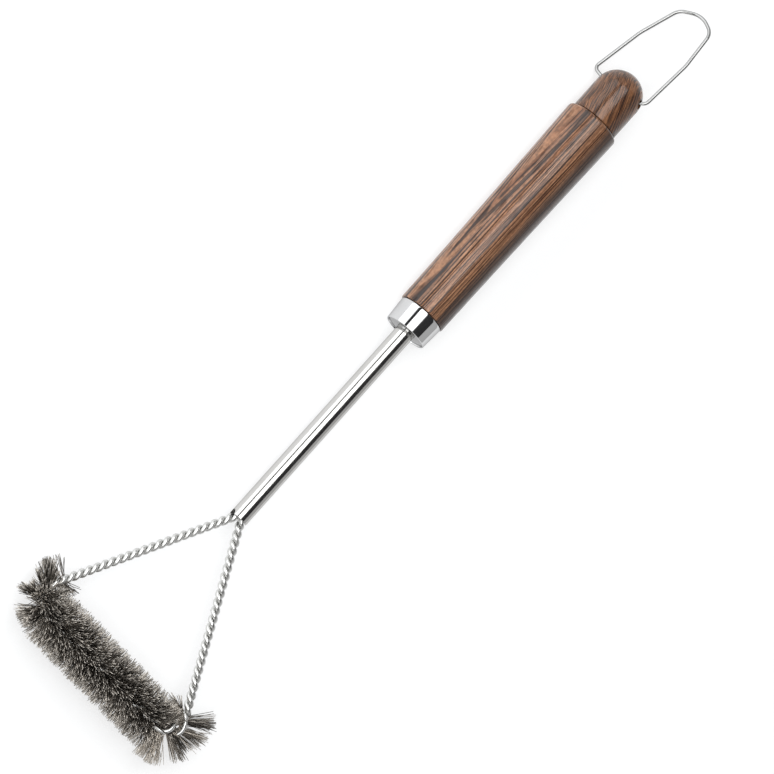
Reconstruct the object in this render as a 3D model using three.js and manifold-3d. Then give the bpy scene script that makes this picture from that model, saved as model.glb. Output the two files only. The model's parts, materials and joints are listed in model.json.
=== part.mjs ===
// A grill cleaning brush: a turned wooden handle with a steel shaft, a triangular head of
// twisted wire, and a bristle roll trapped in the wire across the front of the triangle.
//
// Built in millimetres with the handle along +Y and +Z up. While it is built, Y = 0 is the mouth
// of the shaft tube and Z = 0 is the plane of the handle's axis and the wire triangle. The last
// lines move the whole brush so that its origin is below its middle, on the surface it lies on.

import * as THREE from 'three';
import { mergeVertices } from 'three/addons/utils/BufferGeometryUtils.js';
import Module from 'manifold-3d';

const wasm = await Module();
wasm.setup();

// ---------------------------------------------------------------- driving dimensions

const FIT_GAP = 0.3; // between pieces that touch on the real brush

// twisted wire head
const WIRE_DIAMETER = 2.6;
const HEAD_HALF_WIDTH = 61.4; // handle axis to the corner where an arm's line meets the bar's line
const HEAD_DEPTH = 110.6; // tube mouth to the bar
const CORNER_RADIUS = 9.5; // wire centre line at the two front corners
const MOUTH_BEND_RADIUS = 5; // wire centre line where the arms leave the tube
const MOUTH_BEND_DEPTH = 1.5; // how far inside the tube the arms' lines meet their tails
const TAIL_LENGTH = 25; // straight wire ends held inside the tube
const ARM_TURNS = 11.5; // full turns of twist in each arm
const BAR_TURNS = 6; // full turns of twist from corner to corner
const TWIST_RUN_IN = 1; // straight wire between the mouth bend and the first twist

// bristles
const ROLL_DIAMETER = 32.6;
const TUFTS_PER_CORNER = 3;
const TUFT_SPLIT_DEG = 3; // open angle between neighbouring tufts

// shaft
const TUBE_DIAMETER = 11;
const TUBE_WALL = 0.8;
const TUBE_SHOWN = 138; // tube mouth to the ferrule
const TUBE_IN_GRIP = 60; // length held in the wood
const MOUTH_NOTCH_DEPTH = 4;
const SHAFT_PIN_DIAMETER = 3;
const SHAFT_PIN_SETBACK = 6.5; // ferrule's end face to the pin's axis
const WEDGE_LENGTH = 16;
const WEDGE_DIAMETER = 0.9; // at its driven end, between the four wire tails

// ferrule
const FERRULE_LENGTH = 13.4;
const FERRULE_FRONT_DIAMETER = 25.6;
const FERRULE_BACK_DIAMETER = 27.2;
const FERRULE_WALL = 0.8;
const FERRULE_FACE_RECESS = 0.9; // end face below the rolled rim
const FERRULE_RIM = 0.5; // radius of the rolled rim

// grip and end cap
const GRIP_LENGTH = 143.5;
const GRIP_FRONT_DIAMETER = 28.6;
const GRIP_REAR_DIAMETER = 32.6;
const GRIP_FLARE = 1.3; // power of the flare along the grip
const GRIP_FRONT_ROUND = 0.6;
const GRIP_REAR_ROUND = 1.8;
const CAP_DIAMETER = 28.5;
const CAP_LENGTH = 34.2;
const CAP_BASE_ROUND = 0.7;
const DOWEL_DIAMETER = 10;
const DOWEL_IN_GRIP = 20;
const DOWEL_IN_CAP = 15;
const DOWEL_CHAMFER = 1;

// hanging loop
const LOOP_WIRE_DIAMETER = 2;
const LOOP_HOLE_SETBACK = 23.4; // base of the cap to the cross hole's axis
const LOOP_HOLE_PLAY = 3.2; // cross hole diameter over the wire's, so that the bent ends can swing
const LOOP_HOLE_ANGLE_DEG = 44; // cross hole turned about the handle, from level
const LOOP_BEND_HALF_WIDTH = 19.1;
const LOOP_END_HALF_GAP = 9.9; // handle axis to each wire end, inside the cap
const LOOP_END_TILT_DEG = 28; // wire ends off the cross hole's axis
const LOOP_SHOULDER_HALF_WIDTH = 16.7;
const LOOP_CROWN_HALF_WIDTH = 10.9;
const LOOP_SHOULDER_REACH = 34.8; // cross hole's axis to the shoulders
const LOOP_CROWN_REACH = 61.4;
const LOOP_TIP_REACH = 67.9;
const LOOP_FLOOR_GAP = 0.12; // under the drooping loop at rest

// facet counts
const HANDLE_SIDES = 28;
const TUBE_SIDES = 24;
const WIRE_SIDES = 6;
const ROLL_SIDES = 24;
const HOLE_SIDES = 16;
const STEPS_PER_TURN = 8;

// ---------------------------------------------------------------- worked-out places

const WIRE_RADIUS = WIRE_DIAMETER / 2;
const STRAND_OFFSET = WIRE_RADIUS + FIT_GAP / 2; // strand centre from the centre of the twist
const TWIST_RADIUS = STRAND_OFFSET + WIRE_RADIUS;
const TAIL_OFFSET = STRAND_OFFSET; // four tails packed two by two
const REST_HEIGHT = ROLL_DIAMETER / 2; // handle axis above the surface
const TUBE_RADIUS = TUBE_DIAMETER / 2;
const FERRULE_Y = TUBE_SHOWN;
const GRIP_Y = FERRULE_Y + FERRULE_LENGTH + FIT_GAP;
const GRIP_END_Y = GRIP_Y + GRIP_LENGTH;
const CAP_Y = GRIP_END_Y + FIT_GAP;
const TUBE_END_Y = GRIP_Y + TUBE_IN_GRIP;
const TENON_FACE_Y = FERRULE_Y + FERRULE_FACE_RECESS + FERRULE_WALL + FIT_GAP;
const TENON_RADIUS = FERRULE_FRONT_DIAMETER / 2 - FERRULE_WALL - FIT_GAP;
const SHAFT_PIN_Y = FERRULE_Y + SHAFT_PIN_SETBACK;
const LOOP_HOLE_Y = CAP_Y + LOOP_HOLE_SETBACK;
const LOOP_HOLE_ANGLE = THREE.MathUtils.degToRad(LOOP_HOLE_ANGLE_DEG);
const LOOP_WIRE_RADIUS = LOOP_WIRE_DIAMETER / 2;
const LOOP_HOLE_RADIUS = (LOOP_WIRE_DIAMETER + LOOP_HOLE_PLAY) / 2;

// ---------------------------------------------------------------- geometry helpers

// A turned piece about the handle's axis. The profile is [radius, y] points; a facet faces down.
function turned(profile, sides) {
  const points = profile.map(([radius, y]) => new THREE.Vector2(radius, y));
  return new THREE.LatheGeometry(points, sides, Math.PI / sides);
}

// Radius that puts a turned piece's flats, rather than its corners, at the given radius.
function overFlats(radius, sides) {
  return radius / Math.cos(Math.PI / sides);
}

// Points of an arc in a profile, from one angle to another, both in degrees.
function arcPoints(centre, radius, fromDeg, toDeg, steps) {
  const points = [];
  for (let i = 0; i <= steps; i += 1) {
    const angle = THREE.MathUtils.degToRad(fromDeg + ((toDeg - fromDeg) * i) / steps);
    points.push([centre[0] + radius * Math.cos(angle), centre[1] + radius * Math.sin(angle)]);
  }
  return points;
}

// A round bar of the given radius between two points.
function roundBar(from, to, radius, sides) {
  const along = to.clone().sub(from);
  const geometry = new THREE.CylinderGeometry(radius, radius, along.length(), sides);
  const turn = new THREE.Quaternion().setFromUnitVectors(
    new THREE.Vector3(0, 1, 0),
    along.normalize(),
  );
  geometry.applyQuaternion(turn);
  const middle = from.clone().add(to).multiplyScalar(0.5);
  return geometry.translate(middle.x, middle.y, middle.z);
}

// A closed geometry as a solid that can be joined and cut.
function asSolid(geometry) {
  const bare = geometry.clone();
  bare.deleteAttribute('normal');
  bare.deleteAttribute('uv');
  const merged = mergeVertices(bare);
  const corners = merged.index.array;
  const triangles = [];
  for (let i = 0; i < corners.length; i += 3) {
    const [a, b, c] = corners.slice(i, i + 3);
    if (a !== b && b !== c && c !== a) {
      triangles.push(a, b, c);
    }
  }
  return new wasm.Manifold(
    new wasm.Mesh({
      numProp: 3,
      vertProperties: new Float32Array(merged.attributes.position.array),
      triVerts: new Uint32Array(triangles),
    }),
  );
}

// A solid back as a geometry.
function asGeometry(solid) {
  const mesh = solid.getMesh();
  const geometry = new THREE.BufferGeometry();
  geometry.setAttribute('position', new THREE.BufferAttribute(mesh.vertProperties, 3));
  geometry.setIndex(new THREE.BufferAttribute(mesh.triVerts, 1));
  geometry.computeVertexNormals();
  return geometry;
}

// A geometry with the others cut out of it.
function cut(geometry, ...cutters) {
  let solid = asSolid(geometry);
  for (const cutter of cutters) {
    solid = solid.subtract(asSolid(cutter));
  }
  return asGeometry(solid);
}

// A flat path through corner points, with each inner corner rounded to its own radius.
class FilletedPath {
  constructor(corners, radii) {
    this.pieces = [];
    this.bends = [];
    this.length = 0;
    let start = corners[0];
    for (let i = 1; i < corners.length; i += 1) {
      const heading = corners[i].clone().sub(corners[i - 1]).normalize();
      if (i === corners.length - 1) {
        this.addPiece(start, heading, start.distanceTo(corners[i]), 0);
        break;
      }
      const next = corners[i + 1].clone().sub(corners[i]).normalize();
      const turn = Math.atan2(heading.cross(next), heading.dot(next));
      const radius = radii[i - 1];
      const setback = radius * Math.tan(Math.abs(turn) / 2);
      const bendStart = corners[i].clone().addScaledVector(heading, -setback);
      this.addPiece(start, heading, start.distanceTo(bendStart), 0);
      this.bends.push({ from: this.length, to: this.length + radius * Math.abs(turn), turn });
      this.addPiece(bendStart, heading, radius * Math.abs(turn), Math.sign(turn) / radius);
      start = corners[i].clone().addScaledVector(next, setback);
    }
  }

  addPiece(start, heading, length, curvature) {
    this.pieces.push({ start, heading, length, curvature, from: this.length });
    this.length += length;
  }

  // Point and heading at a distance along the path.
  at(distance) {
    const piece = this.pieces.findLast((one) => one.from <= distance) ?? this.pieces[0];
    const along = distance - piece.from;
    if (piece.curvature === 0) {
      return {
        point: piece.start.clone().addScaledVector(piece.heading, along),
        heading: piece.heading.clone(),
      };
    }
    const heading = piece.heading.clone().rotateAround(new THREE.Vector2(), along * piece.curvature);
    const left = leftOf(piece.heading);
    const centre = piece.start.clone().addScaledVector(left, 1 / piece.curvature);
    return { point: centre.addScaledVector(leftOf(heading), -1 / piece.curvature), heading };
  }
}

function leftOf(heading) {
  return new THREE.Vector2(-heading.y, heading.x);
}

// A stretch of a wire that follows a flat path, wound about it by the given phase.
class WireCurve extends THREE.Curve {
  constructor(path, from, to, offset = 0, phaseAt = () => 0) {
    super();
    Object.assign(this, { path, from, to, offset, phaseAt });
  }

  getPoint(t, target = new THREE.Vector3()) {
    const distance = this.from + (this.to - this.from) * t;
    const { point, heading } = this.path.at(distance);
    const phase = this.phaseAt(distance);
    point.addScaledVector(leftOf(heading), this.offset * Math.cos(phase));
    return target.set(point.x, point.y, this.offset * Math.sin(phase));
  }
}

// A wire along a curve, as a closed solid with flat ends.
function wireAlong(curve, radius, steps) {
  const section = new THREE.Shape();
  for (let i = 0; i < WIRE_SIDES; i += 1) {
    const angle = (2 * Math.PI * i) / WIRE_SIDES;
    const point = [radius * Math.cos(angle), radius * Math.sin(angle)];
    if (i === 0) {
      section.moveTo(...point);
    } else {
      section.lineTo(...point);
    }
  }
  section.closePath();
  curve.arcLengthDivisions = steps * 4;
  return new THREE.ExtrudeGeometry(section, { steps, extrudePath: curve, bevelEnabled: false });
}

// ---------------------------------------------------------------- the head's wire path

// One flat path for both strands: tail, arm, front corner, bar, front corner, arm, tail.
function headPath() {
  const tailX = TAIL_OFFSET;
  const corners = [
    [-tailX, TAIL_LENGTH],
    [-tailX, MOUTH_BEND_DEPTH],
    [-HEAD_HALF_WIDTH, -HEAD_DEPTH],
    [HEAD_HALF_WIDTH, -HEAD_DEPTH],
    [tailX, MOUTH_BEND_DEPTH],
    [tailX, TAIL_LENGTH],
  ].map(([x, y]) => new THREE.Vector2(x, y));
  const radii = [MOUTH_BEND_RADIUS, CORNER_RADIUS, CORNER_RADIUS, MOUTH_BEND_RADIUS];
  return new FilletedPath(corners, radii);
}

const HEAD_PATH = headPath();
const [LEFT_MOUTH, LEFT_CORNER, RIGHT_CORNER, RIGHT_MOUTH] = HEAD_PATH.bends;
const TWIST_FROM = LEFT_MOUTH.to + TWIST_RUN_IN;
const TWIST_TO = RIGHT_MOUTH.from - TWIST_RUN_IN;

// Phase of the first strand: stacked in the tube, then wound left-handed along arm, bar and arm.
function twistPhase(distance) {
  const stretches = [
    [TWIST_FROM, LEFT_CORNER.from, ARM_TURNS],
    [LEFT_CORNER.from, RIGHT_CORNER.to, BAR_TURNS],
    [RIGHT_CORNER.to, TWIST_TO, ARM_TURNS],
  ];
  let turns = 0;
  for (const [from, to, count] of stretches) {
    turns += count * THREE.MathUtils.clamp((distance - from) / (to - from), 0, 1);
  }
  return Math.PI / 2 - 2 * Math.PI * turns;
}

// One strand of the twisted pair over a stretch of the path.
function strand(from, to, turns, opposite) {
  const start = opposite ? Math.PI : 0;
  const curve = new WireCurve(HEAD_PATH, from, to, STRAND_OFFSET, (s) => start + twistPhase(s));
  return wireAlong(curve, WIRE_RADIUS, Math.ceil(turns * STEPS_PER_TURN));
}

const TAIL_TURNS = 1.5; // steps given to a tail and its bend, counted as turns
const OVERRUN = WIRE_DIAMETER; // a strand is made past its split, then trimmed square to the path

// Block that trims a strand square to the path: all of it after a split, or all of it before.
function trimBlock(split, keepsBefore) {
  const size = 4 * WIRE_DIAMETER;
  const { point, heading } = HEAD_PATH.at(split);
  const reach = (size / 2 - FIT_GAP / 2) * (keepsBefore ? 1 : -1);
  const centre = point.clone().addScaledVector(heading, reach);
  const block = new THREE.BoxGeometry(size, size, size).rotateZ(heading.angle());
  return block.translate(centre.x, centre.y, 0);
}

function leftArmStrand(opposite) {
  const split = LEFT_CORNER.from;
  const wire = strand(0, split + OVERRUN, ARM_TURNS + TAIL_TURNS, opposite);
  return cut(wire, trimBlock(split, true));
}

function rightArmStrand(opposite) {
  const split = RIGHT_CORNER.to;
  const wire = strand(split - OVERRUN, HEAD_PATH.length, ARM_TURNS + TAIL_TURNS, opposite);
  return cut(wire, trimBlock(split, false));
}

function barStrand(opposite) {
  const from = LEFT_CORNER.from;
  const to = RIGHT_CORNER.to;
  const wire = strand(from - OVERRUN, to + OVERRUN, BAR_TURNS + 2, opposite);
  return cut(wire, trimBlock(from, false), trimBlock(to, true));
}

// ---------------------------------------------------------------- bristles

const ROLL_RADIUS = ROLL_DIAMETER / 2;
const CORE_BORE = TWIST_RADIUS + FIT_GAP;
const ROLL_HALF_LENGTH = HEAD_PATH.at(RIGHT_CORNER.from).point.x - FIT_GAP;

// The bristles along the straight bar, as a thick sleeve about the twisted core.
function bristleRoll() {
  const outer = overFlats(ROLL_RADIUS, ROLL_SIDES);
  const chamfer = ROLL_RADIUS * 0.08;
  const profile = [
    [CORE_BORE, -ROLL_HALF_LENGTH],
    [outer - chamfer, -ROLL_HALF_LENGTH],
    [outer, -ROLL_HALF_LENGTH + chamfer],
    [outer, ROLL_HALF_LENGTH - chamfer],
    [outer - chamfer, ROLL_HALF_LENGTH],
    [CORE_BORE, ROLL_HALF_LENGTH],
    [CORE_BORE, -ROLL_HALF_LENGTH],
  ];
  return turned(profile, ROLL_SIDES).rotateZ(-Math.PI / 2).translate(0, -HEAD_DEPTH, 0);
}

// A ring of bristles outside the wire's bend at a front corner, centred on the bend.
function cornerRing() {
  const steepest = THREE.MathUtils.radToDeg(Math.acos(CORE_BORE / ROLL_RADIUS));
  const section = arcPoints([CORNER_RADIUS, 0], ROLL_RADIUS, -steepest, steepest, 8);
  return turned([...section, section[0]], 3 * ROLL_SIDES).rotateX(Math.PI / 2);
}

// One tuft: the part of the ring that lies between two directions.
function cornerTuft(side, index) {
  const bend = side < 0 ? LEFT_CORNER : RIGHT_CORNER;
  const sweep = Math.abs(bend.turn);
  const split = THREE.MathUtils.degToRad(TUFT_SPLIT_DEG);
  const straight = HEAD_PATH.at(side < 0 ? bend.to : bend.from).point;
  const from = (sweep * index) / TUFTS_PER_CORNER + split / 2;
  const to = (sweep * (index + 1)) / TUFTS_PER_CORNER - split / 2;
  const reach = 2 * (CORNER_RADIUS + ROLL_RADIUS);
  const wedge = new THREE.Shape([
    new THREE.Vector2(0, 0),
    new THREE.Vector2(reach * Math.sin(from), -reach * Math.cos(from)),
    new THREE.Vector2(reach * Math.sin(to), -reach * Math.cos(to)),
  ]);
  const height = 3 * ROLL_RADIUS;
  const prism = new THREE.ExtrudeGeometry(wedge, { depth: height, bevelEnabled: false });
  prism.translate(0, 0, -height / 2);
  let tuft = asSolid(cornerRing()).intersect(asSolid(prism));
  if (side < 0) {
    tuft = tuft.mirror([1, 0, 0]);
  }
  return asGeometry(tuft).translate(straight.x, straight.y + CORNER_RADIUS, 0);
}

// ---------------------------------------------------------------- shaft and ferrule

// Steel tube, notched at the mouth where the two arms leave it, and cross drilled for its pin.
function shaftTube() {
  const inner = TUBE_RADIUS - TUBE_WALL;
  const ring = turned(
    [
      [inner, 0],
      [TUBE_RADIUS, 0],
      [TUBE_RADIUS, TUBE_END_Y],
      [inner, TUBE_END_Y],
      [inner, 0],
    ],
    TUBE_SIDES,
  );
  const notches = [-1, 1].map((side) => {
    const depth = new THREE.Vector3(side * TAIL_OFFSET, MOUTH_NOTCH_DEPTH, 0);
    const outward = new THREE.Vector3(
      side * (HEAD_HALF_WIDTH - TAIL_OFFSET),
      -HEAD_DEPTH - MOUTH_BEND_DEPTH,
      0,
    );
    const end = depth.clone().addScaledVector(outward.normalize(), 4 * MOUTH_NOTCH_DEPTH);
    return roundBar(depth, end, TWIST_RADIUS + FIT_GAP, HOLE_SIDES);
  });
  return cut(ring, ...notches, pinHole());
}

function pinHole() {
  const reach = new THREE.Vector3(GRIP_REAR_DIAMETER, 0, 0);
  const centre = new THREE.Vector3(0, SHAFT_PIN_Y, 0);
  const from = centre.clone().sub(reach);
  return roundBar(from, centre.clone().add(reach), SHAFT_PIN_DIAMETER / 2 + FIT_GAP, HOLE_SIDES);
}

// Pin through tenon and tube, hidden by the ferrule.
function shaftPin() {
  const reach = new THREE.Vector3(TENON_RADIUS - 2 * FIT_GAP, 0, 0);
  const centre = new THREE.Vector3(0, SHAFT_PIN_Y, 0);
  const from = centre.clone().sub(reach);
  return roundBar(from, centre.clone().add(reach), SHAFT_PIN_DIAMETER / 2, HOLE_SIDES);
}

// Tapered pin driven between the four wire tails to lock them in the tube.
function wireWedge() {
  const sides = 8;
  const tip = WEDGE_DIAMETER / 4;
  const geometry = new THREE.CylinderGeometry(WEDGE_DIAMETER / 2, tip, WEDGE_LENGTH, sides);
  return geometry.translate(0, TAIL_LENGTH + 1 - WEDGE_LENGTH / 2, 0);
}

// Drawn steel cup with a rolled rim and an end face that the tube passes through.
function ferrule() {
  const front = FERRULE_FRONT_DIAMETER / 2;
  const back = FERRULE_BACK_DIAMETER / 2;
  const face = FERRULE_Y + FERRULE_FACE_RECESS;
  const hole = TUBE_RADIUS + FIT_GAP;
  const end = FERRULE_Y + FERRULE_LENGTH;
  const inner = front - FERRULE_WALL;
  const rim = arcPoints([front - FERRULE_RIM, FERRULE_Y + FERRULE_RIM], FERRULE_RIM, -150, 0, 4);
  const profile = [
    [hole, face],
    [inner - FERRULE_RIM, face],
    ...rim,
    [back, end],
    [back - FERRULE_WALL, end],
    [inner, face + FERRULE_WALL],
    [hole, face + FERRULE_WALL],
    [hole, face],
  ];
  return turned(profile, HANDLE_SIDES);
}

// ---------------------------------------------------------------- wooden handle

function gripRadius(share) {
  const front = GRIP_FRONT_DIAMETER / 2;
  const rear = overFlats(GRIP_REAR_DIAMETER / 2, HANDLE_SIDES);
  return front + (rear - front) * share ** GRIP_FLARE;
}

// Turned grip: a tenon inside the ferrule, a gentle flare, and blind bores at both ends.
function grip() {
  const bore = TUBE_RADIUS + FIT_GAP;
  const dowelBore = DOWEL_DIAMETER / 2 + FIT_GAP;
  const flareSteps = 8;
  const front = GRIP_Y + GRIP_FRONT_ROUND;
  const rear = GRIP_END_Y - GRIP_REAR_ROUND;
  const flare = [];
  for (let i = 0; i <= flareSteps; i += 1) {
    const share = i / flareSteps;
    flare.push([gripRadius(share), front + (rear - front) * share]);
  }
  const rearRound = arcPoints(
    [gripRadius(1) - GRIP_REAR_ROUND, rear],
    GRIP_REAR_ROUND,
    30,
    90,
    2,
  );
  const profile = [
    [0, TUBE_END_Y + FIT_GAP],
    [bore, TUBE_END_Y + FIT_GAP],
    [bore, TENON_FACE_Y],
    [TENON_RADIUS, TENON_FACE_Y],
    [TENON_RADIUS, GRIP_Y],
    [gripRadius(0) - GRIP_FRONT_ROUND, GRIP_Y],
    ...flare,
    ...rearRound,
    [dowelBore, GRIP_END_Y],
    [dowelBore, GRIP_END_Y - DOWEL_IN_GRIP - FIT_GAP],
    [0, GRIP_END_Y - DOWEL_IN_GRIP - FIT_GAP],
  ];
  return cut(turned(profile, HANDLE_SIDES), pinHole());
}

// Domed cap with a blind bore for the dowel and a cross hole for the hanging loop.
function endCap() {
  const radius = CAP_DIAMETER / 2;
  const dowelBore = DOWEL_DIAMETER / 2 + FIT_GAP;
  const boreEnd = CAP_Y + DOWEL_IN_CAP + FIT_GAP;
  const domeY = CAP_Y + CAP_LENGTH - radius;
  const dome = arcPoints([0, domeY], radius, 0, 90, 8);
  dome[dome.length - 1][0] = 0;
  const profile = [
    [0, boreEnd],
    [dowelBore, boreEnd],
    [dowelBore, CAP_Y],
    ...arcPoints([radius - CAP_BASE_ROUND, CAP_Y + CAP_BASE_ROUND], CAP_BASE_ROUND, -90, 0, 2),
    ...dome,
  ];
  const across = new THREE.Vector3(Math.cos(LOOP_HOLE_ANGLE), 0, Math.sin(LOOP_HOLE_ANGLE));
  across.multiplyScalar(CAP_DIAMETER);
  const centre = new THREE.Vector3(0, LOOP_HOLE_Y, 0);
  const from = centre.clone().sub(across);
  const hole = roundBar(from, centre.clone().add(across), LOOP_HOLE_RADIUS, HOLE_SIDES);
  return cut(turned(profile, HANDLE_SIDES), hole);
}

// Wooden dowel glued into the grip and the cap.
function capDowel() {
  const radius = DOWEL_DIAMETER / 2;
  const from = GRIP_END_Y - DOWEL_IN_GRIP;
  const to = CAP_Y + DOWEL_IN_CAP;
  const profile = [
    [0, from],
    [radius - DOWEL_CHAMFER, from],
    [radius, from + DOWEL_CHAMFER],
    [radius, to - DOWEL_CHAMFER],
    [radius - DOWEL_CHAMFER, to],
    [0, to],
  ];
  return turned(profile, HOLE_SIDES);
}

// ---------------------------------------------------------------- hanging loop

// Loop outline in its own plane: x across the handle, y away from the cross hole's axis.
function loopCorners() {
  const tilt = Math.tan(THREE.MathUtils.degToRad(LOOP_END_TILT_DEG));
  const crossing = (CAP_DIAMETER / 2 + LOOP_END_HALF_GAP) / 2;
  const half = [
    [LOOP_END_HALF_GAP, (LOOP_END_HALF_GAP - crossing) * tilt],
    [LOOP_BEND_HALF_WIDTH, (LOOP_BEND_HALF_WIDTH - crossing) * tilt],
    [LOOP_SHOULDER_HALF_WIDTH, LOOP_SHOULDER_REACH],
    [LOOP_CROWN_HALF_WIDTH, LOOP_CROWN_REACH],
  ];
  const left = half.map(([x, y]) => new THREE.Vector2(-x, y));
  const right = half.map(([x, y]) => new THREE.Vector2(x, y)).reverse();
  return [...left, new THREE.Vector2(0, LOOP_TIP_REACH), ...right];
}

const LOOP_BEND_RADII = [2.5, 16, 6, 12, 6, 16, 2.5];

// Angle by which the loop droops until its wire just clears the surface below.
function loopDroop() {
  const clearance = REST_HEIGHT - LOOP_WIRE_RADIUS - LOOP_FLOOR_GAP;
  const across = Math.sin(LOOP_HOLE_ANGLE);
  const along = Math.cos(LOOP_HOLE_ANGLE);
  const droops = loopCorners()
    .filter((corner) => corner.y >= LOOP_SHOULDER_REACH)
    .map((corner) => Math.asin((clearance - Math.abs(corner.x) * across) / (corner.y * along)));
  return Math.min(...droops);
}

function hangingLoop() {
  const path = new FilletedPath(loopCorners(), LOOP_BEND_RADII);
  const steps = 84;
  return wireAlong(new WireCurve(path, 0, path.length), LOOP_WIRE_RADIUS, steps);
}

// ---------------------------------------------------------------- materials

function finish(color, roughness, metalness) {
  return new THREE.MeshStandardMaterial({ color, roughness, metalness });
}

const WOOD = () => finish(0x6b4a37, 0.45, 0);
const CAP_WOOD = () => finish(0x6a432c, 0.42, 0);
const PALE_WOOD = () => finish(0xc9a77a, 0.7, 0);
const POLISHED_STEEL = () => finish(0xd8d8d6, 0.12, 1);
const BRIGHT_WIRE = () => finish(0xc9c9c6, 0.3, 1);
const BRISTLE_STEEL = () => finish(0x4b423b, 0.5, 0.8);

// ---------------------------------------------------------------- assembly

const brush = new THREE.Group();

function addPiece(name, geometry, material, parent = brush) {
  const mesh = new THREE.Mesh(geometry, material);
  mesh.name = name;
  parent.add(mesh);
  return mesh;
}

addPiece('grip', grip(), WOOD());
addPiece('end_cap', endCap(), CAP_WOOD());
addPiece('cap_dowel', capDowel(), PALE_WOOD());
addPiece('ferrule', ferrule(), POLISHED_STEEL());
addPiece('shaft_tube', shaftTube(), POLISHED_STEEL());
addPiece('shaft_pin', shaftPin(), BRIGHT_WIRE());
addPiece('wire_wedge', wireWedge(), BRIGHT_WIRE());

for (const [letter, opposite] of [['a', false], ['b', true]]) {
  addPiece(`left_arm_strand_${letter}`, leftArmStrand(opposite), BRIGHT_WIRE());
  addPiece(`right_arm_strand_${letter}`, rightArmStrand(opposite), BRIGHT_WIRE());
  addPiece(`bar_strand_${letter}`, barStrand(opposite), BRIGHT_WIRE());
}

addPiece('bristle_roll', bristleRoll(), BRISTLE_STEEL());
for (const [sideName, side] of [['left', -1], ['right', 1]]) {
  for (let index = 0; index < TUFTS_PER_CORNER; index += 1) {
    addPiece(`${sideName}_corner_tuft_${index + 1}`, cornerTuft(side, index), BRISTLE_STEEL());
  }
}

// The loop swings about the cross hole, and rests drooped towards the surface.
const loopHinge = new THREE.Group();
loopHinge.position.set(0, LOOP_HOLE_Y, 0);
loopHinge.rotation.set(-loopDroop(), -LOOP_HOLE_ANGLE, 0, 'YXZ');
addPiece('hanging_loop', hangingLoop(), POLISHED_STEEL(), loopHinge);
brush.add(loopHinge);

// The origin goes below the middle of the brush, on the surface it lies on.
brush.updateMatrixWorld(true);
const extent = new THREE.Box3().setFromObject(brush, true);
brush.position.set(
  -(extent.min.x + extent.max.x) / 2,
  -(extent.min.y + extent.max.y) / 2,
  -extent.min.z,
);

export default brush;
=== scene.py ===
"""A grill cleaning brush: turned wooden grip and cap, steel shaft, twisted wire head and bristles.

Units are metres. The handle lies along Y, the head points to -Y, and Z is up. Every place comes
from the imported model; the sizes below are those of the visible skin of each piece.
"""

import json
import logging
import math
from dataclasses import dataclass, field
from enum import Enum
from typing import Callable, Iterator, Sequence

import bmesh
import bpy
import numpy as np
from mathutils import Matrix, Vector


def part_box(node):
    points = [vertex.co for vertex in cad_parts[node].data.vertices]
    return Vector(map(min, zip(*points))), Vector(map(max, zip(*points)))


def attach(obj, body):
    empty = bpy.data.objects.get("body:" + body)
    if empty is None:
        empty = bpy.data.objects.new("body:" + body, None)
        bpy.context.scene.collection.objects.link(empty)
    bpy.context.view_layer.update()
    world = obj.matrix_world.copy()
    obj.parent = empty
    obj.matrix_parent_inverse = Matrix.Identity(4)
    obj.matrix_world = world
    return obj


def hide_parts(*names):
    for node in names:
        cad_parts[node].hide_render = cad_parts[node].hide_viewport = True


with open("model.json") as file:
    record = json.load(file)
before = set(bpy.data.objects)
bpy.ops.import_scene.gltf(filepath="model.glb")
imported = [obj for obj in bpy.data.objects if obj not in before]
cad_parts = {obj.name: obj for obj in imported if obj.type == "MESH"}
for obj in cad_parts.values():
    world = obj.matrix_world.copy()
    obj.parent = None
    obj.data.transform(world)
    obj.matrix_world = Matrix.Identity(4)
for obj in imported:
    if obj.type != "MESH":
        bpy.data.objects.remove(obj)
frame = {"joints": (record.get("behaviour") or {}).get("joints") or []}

LOG = logging.getLogger("brush")
MM = 0.001
SAME_PLACE = 1e-7  # points nearer than this are one point
ALL_SMOOTH = 180.0  # no edge is sharper than this, in degrees
TAU = 2 * math.pi
Colour = tuple[float, float, float]
Point = tuple[float, float]


class Body(Enum):
    """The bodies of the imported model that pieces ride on."""

    BRUSH = "brush"
    LOOP = "loop"


class Slot(Enum):
    """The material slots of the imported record."""

    GRIP_WOOD = "grip_wood"
    CAP_WOOD = "cap_wood"
    DOWEL_WOOD = "dowel_wood"
    POLISHED_STEEL = "polished_steel"
    BRIGHT_WIRE = "bright_wire"
    BRISTLE_PACK = "bristle_pack"


# ------------------------------------------------------------------------------ places


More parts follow.
